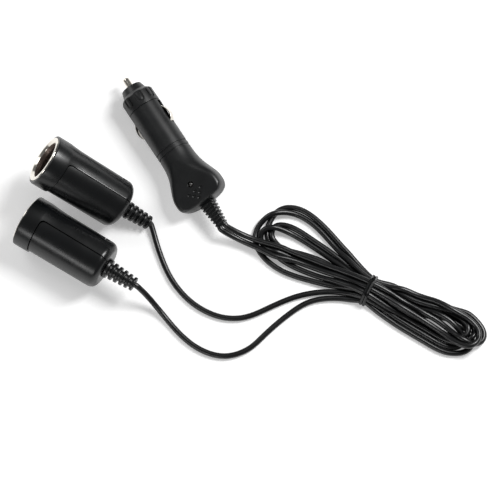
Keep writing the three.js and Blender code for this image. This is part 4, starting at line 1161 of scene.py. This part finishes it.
@dataclass
class Plug:
    """The fused plug: two shells, the screw cap, the pin, the side contacts, the lamp and the boot.

    Its own x runs from the cap's seam to the cord, and its z out of the flat facet.
    """

    place: Placement = PLUG_PLACE
    barrel_radius: float = 10.3
    groove_places: tuple[float, float] = (29.4, 32.4)
    groove_width: float = 1.1
    groove_depth: float = 0.6
    handle_length: float = 36.5
    half_width: float = 15.9
    hip_length: float = 8.5
    belly_depth: float = 9.1
    rear_edge: float = 3.0
    top_power: float = 4.5
    belly_power: float = 2.25
    swell_power: float = 1.5
    hip_power: float = 3.2
    edge_power: float = 2.5
    facet_start: float = 7.0
    facet_slope: float = 3.5
    facet_crease: float = 0.6
    shell_wall: float = 2.0
    parting: float = 0.3
    spigot_length: float = 7.9
    spigot_radius: float = 8.15
    fuse_bore: float = 3.5
    rear_contact: float = 27.5
    contact_slot: tuple[float, float, float] = (5.2, 0.3, 1.1)
    wire_way: float = 2.5
    neck_way: tuple[float, float] = (3.9, 3.2)
    thread_length: float = 5.2
    thread_turns: float = 5.2
    thread_wire: float = 0.2
    lamp_x: float = 55.8
    lamp_bore: float = 1.8
    lamp_radius: float = 1.5
    lamp_flange: tuple[float, float, float] = (1.9, 4.4, 5.4)
    lamp_shoulder: float = 7.9
    post_offset: float = 5.0
    post_reach: tuple[float, float] = (4.4, 8.3)
    screw_x: float = 44.0
    screw_foot: float = -8.9
    screw_length: float = 13.0
    screw_bore: float = 1.5
    screw_head_room: float = 2.8
    boss_radius: float = 3.7
    dimples: tuple[tuple[float, float], ...] = (
        (60.6, -4.3), (60.6, 0), (60.6, 4.3), (62.8, -2.15), (62.8, 2.15), (65, 0))
    dimple_radius: float = 0.92
    dimple_depth: float = 0.7
    dimple_rim: tuple[float, float] = (0.08, 0.12)
    cap_length: float = 15.2
    cap_neck: float = -10.9
    cap_shoulder: float = -8.5
    cap_bore: float = 8.5
    cap_seat: float = -9.3
    grips: int = 8
    grip_size: tuple[float, float] = (9, 4.8)
    grip_depth: float = 0.8
    grip_rib: tuple[float, float] = (5.4, 2.4)
    cap_turn: float = 22.5
    pin_reach: float = 7.0
    pin_radius: float = 2.1
    pin_dome: float = 1.7
    pin_flange: tuple[float, float, float] = (3.6, -12.7, -11.1)
    leaf_width: float = 4.8
    leaf_thickness: float = 0.5
    leaf_eye: tuple[float, float] = (2.4, 6.7)
    leaf_end: float = 16.0
    leaf_rise: float = 1.55
    leaf_pocket: tuple[float, float] = (0.95, 16.85)
    leaf_pocket_depth: tuple[float, float] = (4.4, 13.4)
    leaf_pocket_height: float = 2.75
    eye_radii: tuple[float, float] = (0.62, 1.1)
    eye_pin: tuple[float, float] = (0.45, 3.4)
    boot_length: float = 16.0
    boot_size: tuple[float, float] = (9.6, 7.6)
    boot_taper: float = 0.68
    boot_core: float = 0.8
    boot_ribs: int = 7
    boot_rib_share: float = 0.58
    boot_neck: tuple[float, float] = (7.2, 5.8)
    boot_neck_start: float = 65.1
    boot_root: tuple[float, float] = (64.3, 66.1)

    @property
    def rear_groove(self) -> float:
        """Returns where the handle's swell starts."""
        return self.groove_places[1]

    @property
    def rear(self) -> float:
        """Returns where the handle ends."""
        return self.rear_groove + self.handle_length

    def facet_height(self, x: float) -> float:
        """Returns the height of the flat facet above the plug's axis."""
        run = max(x - self.rear_groove - self.facet_start, 0)
        return self.barrel_radius - run * math.tan(math.radians(self.facet_slope))

    def ring(self, x: float, inset: float = 0.0, half_count: int = 56) -> list[Point]:
        """Gives the outline of the barrel or handle at one place.

        Args:
            x: the place along the plug.
            inset: how far the outline is shrunk.
            half_count: how many edges each half of the outline has.

        Returns:
            The outline's points, evenly spaced, from the parting line round to itself.
        """
        distance = x - self.rear_groove
        waist = self.handle_length - self.hip_length
        swell = (1 - math.cos(math.pi * min(max(distance / waist, 0), 1) ** self.swell_power)) / 2
        hip = max((distance - waist) / self.hip_length, 0)
        edge = max((distance - self.handle_length + self.rear_edge) / self.rear_edge, 0)
        fullness = (1 - hip ** self.hip_power) ** (1 / self.hip_power)
        round_off = (1 - edge ** self.edge_power) ** (1 / self.edge_power)
        widest = self.barrel_radius + (self.half_width - self.barrel_radius) * swell
        belly = self.barrel_radius + (self.belly_depth - self.barrel_radius) * swell
        result: list[Point] = []
        crease = self.facet_crease * min(max((distance - self.facet_start) / 6, 0), 1)
        for side, height, power in ((1, self.barrel_radius, self.top_power), (-1, belly, self.belly_power)):
            share = 2 / (2 + (power - 2) * swell)
            angles = np.linspace(0, math.pi, 721)
            c, s = np.cos(angles), np.sin(angles)
            y = side * (widest * fullness - inset) * np.sign(c) * np.abs(c) ** share
            z = side * (height * round_off - inset) * np.abs(s) ** share
            if crease and side > 0:
                ceiling = self.facet_height(x) - inset
                z = (z + ceiling - np.sqrt((z - ceiling) ** 2 + crease ** 2)) / 2
                z -= z[0] * (1 - s)
            travel = np.concatenate([[0], np.cumsum(np.hypot(np.diff(y), np.diff(z)))])
            marks = np.linspace(0, travel[-1], half_count + 1)[:-1]
            result += [(x, float(a), float(b)) for a, b in
                       zip(np.interp(marks, travel, y), np.interp(marks, travel, z))]
        return result

    def form(self) -> bpy.types.Object:
        """Returns the outer form of both shells in one: spigot, grooved barrel and handle."""
        edge = 0.25
        seat = self.barrel_radius - self.spigot_radius
        rows = [(-self.spigot_length, seat + edge), (edge - self.spigot_length, seat), (0, seat), (0, edge),
                (edge, 0)]
        for x in self.groove_places:
            far = x + self.groove_width
            rows += [(x - 0.12, 0), (x, 0.12), (x + 0.02, self.groove_depth), (far - 0.02, self.groove_depth),
                     (far, 0.12), (far + 0.12, 0)]
        waist = self.handle_length - self.hip_length
        rows += [(self.rear_groove + d, 0) for d in np.linspace(2, waist, 36)]
        for t in np.linspace(0, 1, 26)[1:]:
            rows.append((self.rear_groove + waist + self.hip_length * 0.985 * (1 - (1 - t) ** 2), 0))
        return lofted("plug_form", [self.ring(float(x), inset) for x, inset in rows])

    def cavity(self) -> bpy.types.Object:
        """Returns the handle's hollow."""
        places = np.linspace(self.rear_groove + 2 * self.shell_wall, self.rear - 2.5, 24)
        return lofted("handle_cavity", [self.ring(float(x), self.shell_wall) for x in places])

    def shells(self, shop: Workshop) -> None:
        """Makes the two shells from one hollow form, and parts them along the middle."""
        whole = carved(self.form(), self.cavity())
        boss_reach = self.barrel_radius - self.shell_wall / 2
        posts = [post("board_post", self.lamp_x, side * self.post_offset, drill(1, *self.post_reach))
                 for side in (-1, 1)]
        boss = post("screw_boss", self.screw_x, 0, drill(self.boss_radius, -boss_reach, boss_reach))
        thread = shop.coiler.run("thread", self.spigot_radius - 0.06, self.thread_length, self.thread_turns,
                                 self.thread_wire, shop.finishes["shell"])
        carved(whole, boss, *posts, shifted(thread, 0.9 - self.spigot_length, 0, 0), how=Cut.JOINED)
        outside = self.barrel_radius + 2
        slot_radius, ahead, behind = self.contact_slot
        slot_span = (self.rear_contact - ahead, self.rear_contact + behind)
        slot = turned("contact_slot", drill(slot_radius, *slot_span), 64)
        bore = turned("fuse_bore", drill(self.fuse_bore, -self.spigot_length - 1, self.rear_contact), 64)
        wires = turned("wire_way", drill(self.wire_way, self.rear_contact, self.rear_groove + 5), 48)
        hole_end = self.screw_foot + self.screw_length + 0.6
        hole = post("screw_hole", self.screw_x, 0, drill(self.screw_bore, -outside, hole_end))
        room = post("screw_head_room", self.screw_x, 0,
                    drill(self.screw_head_room, -outside, self.screw_foot + 2))
        lamp_span = (self.lamp_flange[1] - self.parting, self.facet_height(self.lamp_x))
        lamp = post("lamp_hole", self.lamp_x, 0, drill(self.lamp_bore, *lamp_span, 0.15))
        wide, high = self.neck_way
        neck = block("neck_way", (self.rear - 3.5, self.rear + 1), (-wide, wide), (-high, high))
        pockets = [block("leaf_pocket", self.leaf_pocket, sorted(side * y for y in self.leaf_pocket_depth),
                         (-self.leaf_pocket_height, self.leaf_pocket_height)) for side in (-1, 1)]
        marks = []
        sink, flare = self.dimple_rim
        for x, y in self.dimples:
            top = self.facet_height(x)
            profile = drill(self.dimple_radius, top - self.dimple_depth, top - sink, flare)
            marks.append(post("dimple", x, y, profile))
        carved(whole, slot, bore, wires, hole, room, lamp, neck, *pockets, *marks)
        pin_radius, pin_half = self.eye_pin
        pin_profile = drill(pin_radius, -pin_half, pin_half)
        pins = [post("leaf_pin", self.leaf_eye[0], side * self.leaf_eye[1], pin_profile, 24)
                for side in (-1, 1)]
        carved(whole, *pins, how=Cut.JOINED)
        far = 2 * self.rear
        for name, low, high in (("upper", self.parting / 2, far), ("lower", -far, -self.parting / 2)):
            half = block("half", (-far, far), (-far, far), (low, high))
            shell = carved(twin(whole, f"plug_{name}_shell"), half, how=Cut.SHARED)
            placed(shell, self.place.matrix())
            shop.dress(shell, "shell", Slot.PLASTIC, Body.HOUSINGS, f"plug_shell_{name}")
        bpy.data.objects.remove(whole)

    def cap(self, shop: Workshop) -> None:
        """Makes the screw cap, with a raised rib in each of its grips."""
        radius, nose = self.barrel_radius, -self.cap_length
        outer = [(nose, 0), (nose, 6.3, 0.9), (self.cap_neck, 7.6, 0.6), (self.cap_shoulder - 0.6, 9.7, 0.8),
                 (self.cap_shoulder, radius, 0.6), (-self.parting / 2, radius, 0.25), (-self.parting / 2, 0)]
        cap = turned("screw_cap", rounded(outer, 0, steps=6), 160)
        seat = [(nose - 1, 0), (nose - 1, 2.9), (nose + 0.35, 2.45), (nose + 2.2, 2.45), (nose + 2.2, 4.2),
                (self.cap_seat, 4.2), (self.cap_seat, self.cap_bore), (1, self.cap_bore), (1, 0)]
        floor = radius - self.grip_depth
        levels = ((floor, -0.2), (floor + 0.15, 0), (radius - 0.4, 0), (radius + 0.2, 0.3), (radius + 3, 0.3))
        pocket = lofted("pocket", [[(x, y, z) for x, y in stadium(*self.grip_size, grow)]
                                   for z, grow in levels])
        shifted(pocket, self.cap_neck, 0, 0)
        turns = [360 / self.grips * i for i in range(self.grips)]
        pockets = [spun(twin(pocket, "pocket_turned"), angle) for angle in turns]
        bpy.data.objects.remove(pocket)
        carved(cap, turned("cap_seat", seat, 96), *pockets)
        crest = ((floor - 0.3, 0), (floor + 0.35, 0), (floor + 0.48, -0.07), (floor + 0.55, -0.25))
        rib = lofted("rib", [[(x, y, z) for x, y in stadium(*self.grip_rib, grow)] for z, grow in crest])
        shifted(rib, self.cap_shoulder + 0.1, 0, 0)
        shop.repeater.run(cap, rib, shop.finishes["shell"], self.grips, turn=360 / self.grips)
        spun(cap, self.cap_turn)
        shop.dress(placed(cap, self.place.matrix()), "shell", Slot.PLASTIC, Body.CAP, "tip_cap")

    def pin(self, shop: Workshop) -> None:
        """Makes the domed centre pin with its flange."""
        tip = -self.cap_length - self.pin_reach
        dome = [(tip + self.pin_dome * (1 - math.cos(a)), self.pin_radius * math.sin(a))
                for a in np.linspace(0, math.pi / 2, 10)]
        wide, front, back = self.pin_flange
        flange = [(front, self.pin_radius), (front, wide, 0.25), (back, wide, 0.25), (back, 0)]
        pin = turned("domed_pin", dome + rounded(flange, 0), 72)
        shop.dress(placed(pin, self.place.matrix()), "nickel", Slot.NICKEL, Body.PIN, "centre_pin")

    def contact(self, shop: Workshop, side: int, name: str, body: Body) -> None:
        """Makes one sprung side contact: a bowed leaf and its eye.

        Args:
            shop: the finishes.
            side: 1 for the right contact and -1 for the left one.
            name: which contact it is.
            body: the body that it rides on.
        """
        crown, (eye_x, eye_y) = self.barrel_radius + self.leaf_rise, self.leaf_eye
        bore, around = self.eye_radii
        bow = [(eye_x, eye_y + around)]
        for share, depth in ((0.2, 1.85), (0.42, 0.4), (0.68, 0), (0.9, 0.9), (1, 2.75)):
            bow.append((eye_x + (self.leaf_end - eye_x) * share, crown - depth))
        line = smooth_line(bow, 0.45)
        heading = np.gradient(line, axis=0)
        heading /= np.linalg.norm(heading, axis=1)[:, None]
        t = self.leaf_thickness
        rings = []
        for (x, y), (hx, hy) in zip(line, heading):
            outline = soft_box(self.leaf_width, t, 0.15, 3)
            rings.append([(x + hy * (t / 2 + v), y - hx * (t / 2 + v), u) for u, v in outline])
        leaf = lofted("leaf", rings)
        half = self.leaf_width / 2
        section = [(-half, bore), (-half, around), (half, around), (half, bore)]
        eye = shifted(spun(turned("eye", rounded(section, 0.12, True), 40, True), -90, "Y"), eye_x, eye_y, 0)
        contact = merged(f"{name}_leaf", leaf, eye)
        if side < 0:
            spun(contact, 180)
        shop.dress(placed(contact, self.place.matrix()), "nickel", Slot.NICKEL, body, f"side_contact_{name}")

    def lamp(self, shop: Workshop) -> None:
        """Makes the small domed lamp behind the facet."""
        r, (wide, foot, seat) = self.lamp_radius, self.lamp_flange
        dome = [(self.lamp_shoulder + r * math.sin(a), r * math.cos(a))
                for a in np.linspace(0, math.pi / 2, 9)]
        dome[-1] = (dome[-1][0], 0)
        profile = [(foot, 0), (foot, wide), (seat, wide), (seat, r), *dome]
        lamp = post("domed_lamp", self.lamp_x, 0, profile, 56)
        shop.dress(placed(lamp, self.place.matrix()), "lens", Slot.LENS, Body.HOUSINGS, "indicator_lamp")

    def screw(self, shop: Workshop) -> None:
        """Makes the screw on the handle's underside."""
        screw = shifted(spun(cross_screw("pan_screw", self.screw_length), -90, "Y"), self.screw_x, 0,
                        self.screw_foot)
        shop.dress(placed(screw, self.place.matrix()), "steel", Slot.STEEL, Body.HOUSINGS, "handle_screw")

    def boot(self, shop: Workshop) -> None:
        """Makes the square ribbed strain relief."""
        front = self.rear + 0.3
        wide, high = self.boot_size

        def level(x: float, scale: float) -> list[Point]:
            """Returns the outline of the tapered boot at one place, at a share of its size."""
            size = scale * (1 - (1 - self.boot_taper) * (x - front) / self.boot_length)
            return [(x, y, z) for y, z in soft_box(wide * size, high * size, 1.6 * size)]

        places = np.linspace(front + 0.1, front + self.boot_length, 9)
        boot = lofted("ribbed_boot", [level(x, self.boot_core) for x in places])
        neck = lofted("neck", [[(x, y, z) for y, z in soft_box(*self.boot_neck, 1)]
                               for x in (self.boot_neck_start, front + 0.5)])
        root = lofted("root", [[(x, y, z) for y, z in soft_box(wide, high, 1)] for x in self.boot_root])
        carved(boot, neck, root, how=Cut.JOINED)
        pitch = self.boot_length / self.boot_ribs
        length = pitch * self.boot_rib_share
        edge = ((0, -0.35), (0.12, -0.1), (0.3, 0))
        edges = (*edge, *((length - x, grow) for x, grow in reversed(edge)))
        rib = lofted("rib", [[(x, y, z) for y, z in soft_box(wide + 2 * grow, high + 2 * grow, 1.6)]
                             for x, grow in edges])
        last = 1 - (1 - self.boot_taper) * (self.boot_ribs - 1) / self.boot_ribs
        shop.repeater.run(boot, rib, shop.finishes["boot"], self.boot_ribs, (front, 0, 0), (pitch, 0, 0),
                          scales=(1, last))
        shop.dress(placed(boot, self.place.matrix()), "boot", Slot.PLASTIC, Body.HOUSINGS, "plug_boot")

    def build(self, shop: Workshop) -> None:
        """Makes every piece of the plug that shows."""
        self.shells(shop)
        self.cap(shop)
        self.pin(shop)
        self.contact(shop, -1, "left", Body.LEFT)
        self.contact(shop, 1, "right", Body.RIGHT)
        self.lamp(shop)
        self.screw(shop)
        self.boot(shop)


def cross_screw(name: str, length: float) -> bpy.types.Object:
    """Makes a pan-head screw with a cross recess.

    Args:
        name: the object's name.
        length: from the head's top to the point, in millimetres.

    Returns:
        The screw along X, with its head's top at zero.
    """
    shape = [(0, 0), (0, 2.5, 1.1), (1.7, 2.5, 0.15), (1.7, 1.2, 0), (length - 1, 1.2, 0), (length, 0)]
    screw = turned(name, rounded(shape, 0, steps=6), 48)
    for angle in (0, 90):
        carved(screw, spun(block("recess", (-1, 0.9), (-1.3, 1.3), (-0.3, 0.3)), angle))
    return screw


@dataclass
class Socket:
    """One socket: collar and half housing, cover, plated sleeve, screw and ribbed boot.

    Its own x runs from the mouth to the cord, and the cover is the half with y below zero.
    """

    prefix: str
    place: Placement
    length: float = 55.0
    collar_radius: float = 15.8
    collar_length: float = 9.0
    body_radius: float = 15.1
    taper: float = 0.3
    blend: float = 11.0
    cover_step: float = 0.5
    cover_start: float = 10.0
    cover_gap: float = 0.5
    cover_corner: float = 3.0
    rear_corner: float = 4.6
    sleeve_radius: float = 10.6
    sleeve_wall: float = 0.6
    sleeve_depth: float = 41.3
    lip_room: float = 14.7
    floor_gap: float = 0.3
    liner: tuple[float, float] = (11.55, 12.1)
    liner_reach: tuple[float, float] = (8.5, 41)
    wiring_radius: float = 10.5
    rear_wall: float = 4.0
    screw_x: float = 46.2
    screw_offset: float = 6.6
    screw_head: float = 11.18
    screw_head_room: float = 2.8
    column: tuple[float, float] = (1.5, 2.7)
    boot_way: float = 3.9
    boot_neck: float = 3.6
    boot_root: tuple[float, float] = (5.8, 1.7)
    boot_flange_radii: tuple[float, float] = (6.2, 5.7)
    disc_height: float = 1.5
    disc_share: float = 0.6
    boot_length: float = 19.0
    boot_flange: float = 1.8
    boot_discs: int = 5
    boot_radii: tuple[float, float] = (5.3, 4.3)
    seam_angle: float = 51.5
    seam_section: tuple[tuple[float, float], ...] = (
        (-1.1, -0.1), (-0.45, 0.1), (0, 0.17), (0.45, 0.1), (1.1, -0.1))

    def side(self) -> list[Point]:
        """Returns the body's outline from its rim to the start of its rear corner."""
        sweep = [(self.collar_length + self.blend * s,
                  self.body_radius + (self.collar_radius - self.body_radius) * (1 - s) ** 2)
                 for s in np.linspace(0, 1, 12)]
        return [(0.9, self.collar_radius), *sweep,
                (self.length - self.rear_corner, self.body_radius - self.taper)]

    def corner(self, radius: float) -> list[Point]:
        """Returns the round corner between a moulding's side and its rear end."""
        r = self.rear_corner
        return [(self.length - r * (1 - math.sin(a)), radius - r * (1 - math.cos(a)))
                for a in np.linspace(0, math.pi / 2, 12)]

    def region(self, gap: float) -> bpy.types.Object:
        """Returns the space of the cover, which has one rounded corner in front.

        Args:
            gap: how far the space is shrunk.
        """
        reach = self.length * 1.5
        front = self.cover_start + gap
        corners = [(front, -reach, 0), (reach, -reach, 0), (reach, -gap, 0), (front, -gap, self.cover_corner)]
        return extruded("cover_region", rounded(corners, 0, closed=True, steps=10), -32, 32)

    def housing(self, outer: bpy.types.Object, sleeve_room: float) -> bpy.types.Object:
        """Hollows one moulding and bores the way for its screw.

        Args:
            outer: its outer form.
            sleeve_room: the radius of the space round the sleeve.

        Returns:
            The same object.
        """
        floor = self.sleeve_depth + self.floor_gap
        wall, outside = self.length - self.rear_wall, self.length + 1
        steps = [(-1, 0), (-1, self.lip_room), (1, self.lip_room), (1, sleeve_room), (floor, sleeve_room),
                 (floor, self.wiring_radius), (wall, self.wiring_radius), (wall, self.boot_way),
                 (outside, self.boot_way), (outside, 0)]
        carved(outer, turned("socket_cavity", steps, 128))
        bore, seat, beyond = self.column[0], self.screw_head - 2, self.collar_radius + 3.2
        room = [(-2.1, 0), (-2.1, bore), (seat, bore), (seat, self.screw_head_room),
                (beyond, self.screw_head_room), (beyond, 0)]
        return carved(outer, self.across(room))

    def across(self, profile: Sequence[Point], closed: bool = False) -> bpy.types.Object:
        """Returns a piece turned about the cover screw's axis, which runs along y."""
        piece = turned("across", profile, 40, closed)
        return shifted(spun(piece, 90, "Z"), self.screw_x, 0, self.screw_offset)

    def body(self, shop: Workshop) -> None:
        """Makes the collar and half housing, with the fine seam that its mould leaves."""
        side = self.side()
        profile = [*rounded([(0, 0), (0, self.collar_radius, 0.9), side[1]], 0, steps=6)[:-1], *side[1:],
                   *self.corner(self.body_radius - self.taper)[1:], (self.length, 0)]
        outer = turned(f"{self.prefix}_collar_and_half", profile, 168)
        body = carved(self.housing(outer, self.liner[0] - 0.05), self.region(0))
        middle = math.radians(self.seam_angle)
        crest = [(middle + math.radians(a), up) for a, up in self.seam_section]
        rings = [[(x, (r + up) * math.cos(a), (r + up) * math.sin(a)) for a, up in crest] for x, r in side]
        bore, wide = self.column
        column = self.across([(0.3, bore), (0.3, wide), (7.5, wide), (8, 3.6), (9.1, 3.6), (9.1, bore)], True)
        (low, high), (front, back) = self.liner, self.liner_reach
        liner = turned("liner", [(front, low), (front, high), (back, high), (back, low)], 128, True)
        body = merged(body.name + "_moulding", body, lofted("seam", rings), column, liner)
        shop.dress(placed(body, self.place.matrix()), "socket", Slot.PLASTIC, Body.HOUSINGS,
                   f"{self.prefix}_socket_body")

    def cover(self, shop: Workshop) -> None:
        """Makes the cover, a step lower than the body."""
        front = self.body_radius - self.cover_step + self.taper
        profile = [(self.cover_start, 0), (self.cover_start, front),
                   *self.corner(self.body_radius - self.cover_step), (self.length, 0)]
        cover = self.housing(turned(f"{self.prefix}_half_cover", profile, 168), self.liner[1] + 0.2)
        carved(cover, self.region(self.cover_gap), how=Cut.SHARED)
        bore, wide = self.column
        column = self.across([(-8.6, bore), (-8.6, wide), (-0.6, wide), (-0.6, bore)], True)
        cover = merged(cover.name + "_moulding", cover, column)
        shop.dress(placed(cover, self.place.matrix()), "socket", Slot.PLASTIC, Body.HOUSINGS,
                   f"{self.prefix}_socket_cover")

    def sleeve(self, shop: Workshop) -> None:
        """Makes the plated sleeve with its rolled lip; behind the lip its nickel is painted far darker, as
        painted shade inside the mouth.
        """
        r, depth, wall = self.sleeve_radius, self.sleeve_depth, self.sleeve_wall
        section = [(depth, 6, 0.1), (depth, r + wall, 0.5), (0.7, r + wall, 0.3), (0.7, 14.4, 0.35),
                   (-0.6, 14.4, 0.55), (-0.6, 12.5, 0.6), (0.5, 11.3, 0.8), (3, r, 1), (depth - wall, r, 0.4),
                   (depth - wall, 6, 0.1)]
        sleeve = turned(f"{self.prefix}_rolled_sleeve", rounded(section, 0, True, 6), 144, True)
        # Everything behind the lip takes the darker sleeve finish: painted shade inside the mouth, not a real
        # dull plating.
        inner = [polygon.center.x > 1.4 * MM for polygon in sleeve.data.polygons]
        shop.dress(placed(sleeve, self.place.matrix()), "nickel", Slot.NICKEL, Body.HOUSINGS,
                   f"{self.prefix}_socket_sleeve")
        sleeve.data.materials.append(shop.finishes["sleeve"])
        sleeve.data.polygons.foreach_set("material_index", inner)

    def screw(self, shop: Workshop) -> None:
        """Makes the cover's screw, on the far side."""
        screw = shifted(spun(cross_screw(f"{self.prefix}_pan_screw", 9), -90, "Z"), self.screw_x,
                        self.screw_head, self.screw_offset)
        shop.dress(placed(screw, self.place.matrix()), "steel", Slot.STEEL, Body.HOUSINGS,
                   f"{self.prefix}_cover_screw")

    def boot(self, shop: Workshop) -> None:
        """Makes the strain relief: root, flange, tapered core and discs that get smaller."""
        front, (first, last) = self.length + 0.3, self.boot_radii
        root = self.length - self.rear_wall - 0.3
        end, face = front + self.boot_length, front + self.boot_flange
        (wide, thick), neck, (broad, slim) = self.boot_root, self.boot_neck, self.boot_flange_radii
        core = [radius - self.disc_height for radius in self.boot_radii]
        profile = [(root - thick, 0), (root - thick, wide, 0.2), (root, wide, 0.2), (root, neck, 0),
                   (front, neck, 0), (front, broad, 0.3), (face, slim, 0.5), (face, core[0], 0.2),
                   (end, core[1], 0.3), (end, 0)]
        boot = turned(f"{self.prefix}_disc_boot", rounded(profile, 0), 72)
        pitch = (self.boot_length - self.boot_flange) / self.boot_discs
        length = pitch * self.disc_share
        disc = turned("disc", rounded([(0, 0), (0, first, 0.55), (length, first, 0.55), (length, 0)], 0), 72)
        shop.repeater.run(boot, disc, shop.finishes["boot"], self.boot_discs,
                          (face + pitch - length, 0, 0), (pitch * 1.01, 0, 0), scales=(1, last / first))
        shop.dress(placed(boot, self.place.matrix()), "boot", Slot.PLASTIC, Body.HOUSINGS,
                   f"{self.prefix}_socket_boot")

    def build(self, shop: Workshop) -> None:
        """Makes every piece of the socket that shows."""
        self.body(shop)
        self.cover(shop)
        self.sleeve(shop)
        self.screw(shop)
        self.boot(shop)


def main() -> None:
    """Builds the scene in order: camera, cords, then each sub-assembly."""
    logging.basicConfig(level=logging.INFO, format="%(message)s")
    Studio().build()
    shop = Workshop()
    cords = Cords()
    cords.build(shop)
    cords.tie.build(shop)
    Plug().build(shop)
    for prefix, place in (("lower", LOWER_PLACE), ("upper", UPPER_PLACE)):
        Socket(prefix, place).build(shop)
        shop.paint("fibre", f"{prefix}_socket_insulator")
        shop.paint("brass", f"{prefix}_centre_contact", f"{prefix}_centre_tag", f"{prefix}_sleeve_tag")
    shop.paint("fibre", "cap_washer")
    shop.paint("nickel", "fuse_cap_front", "fuse_cap_rear")
    shop.paint("glass", "fuse_tube")
    shop.paint("steel", "pin_spring")
    shop.paint("brass", "rear_contact")
    shop.paint("laminate", "circuit_board")


if __name__ == "__main__":
    main()
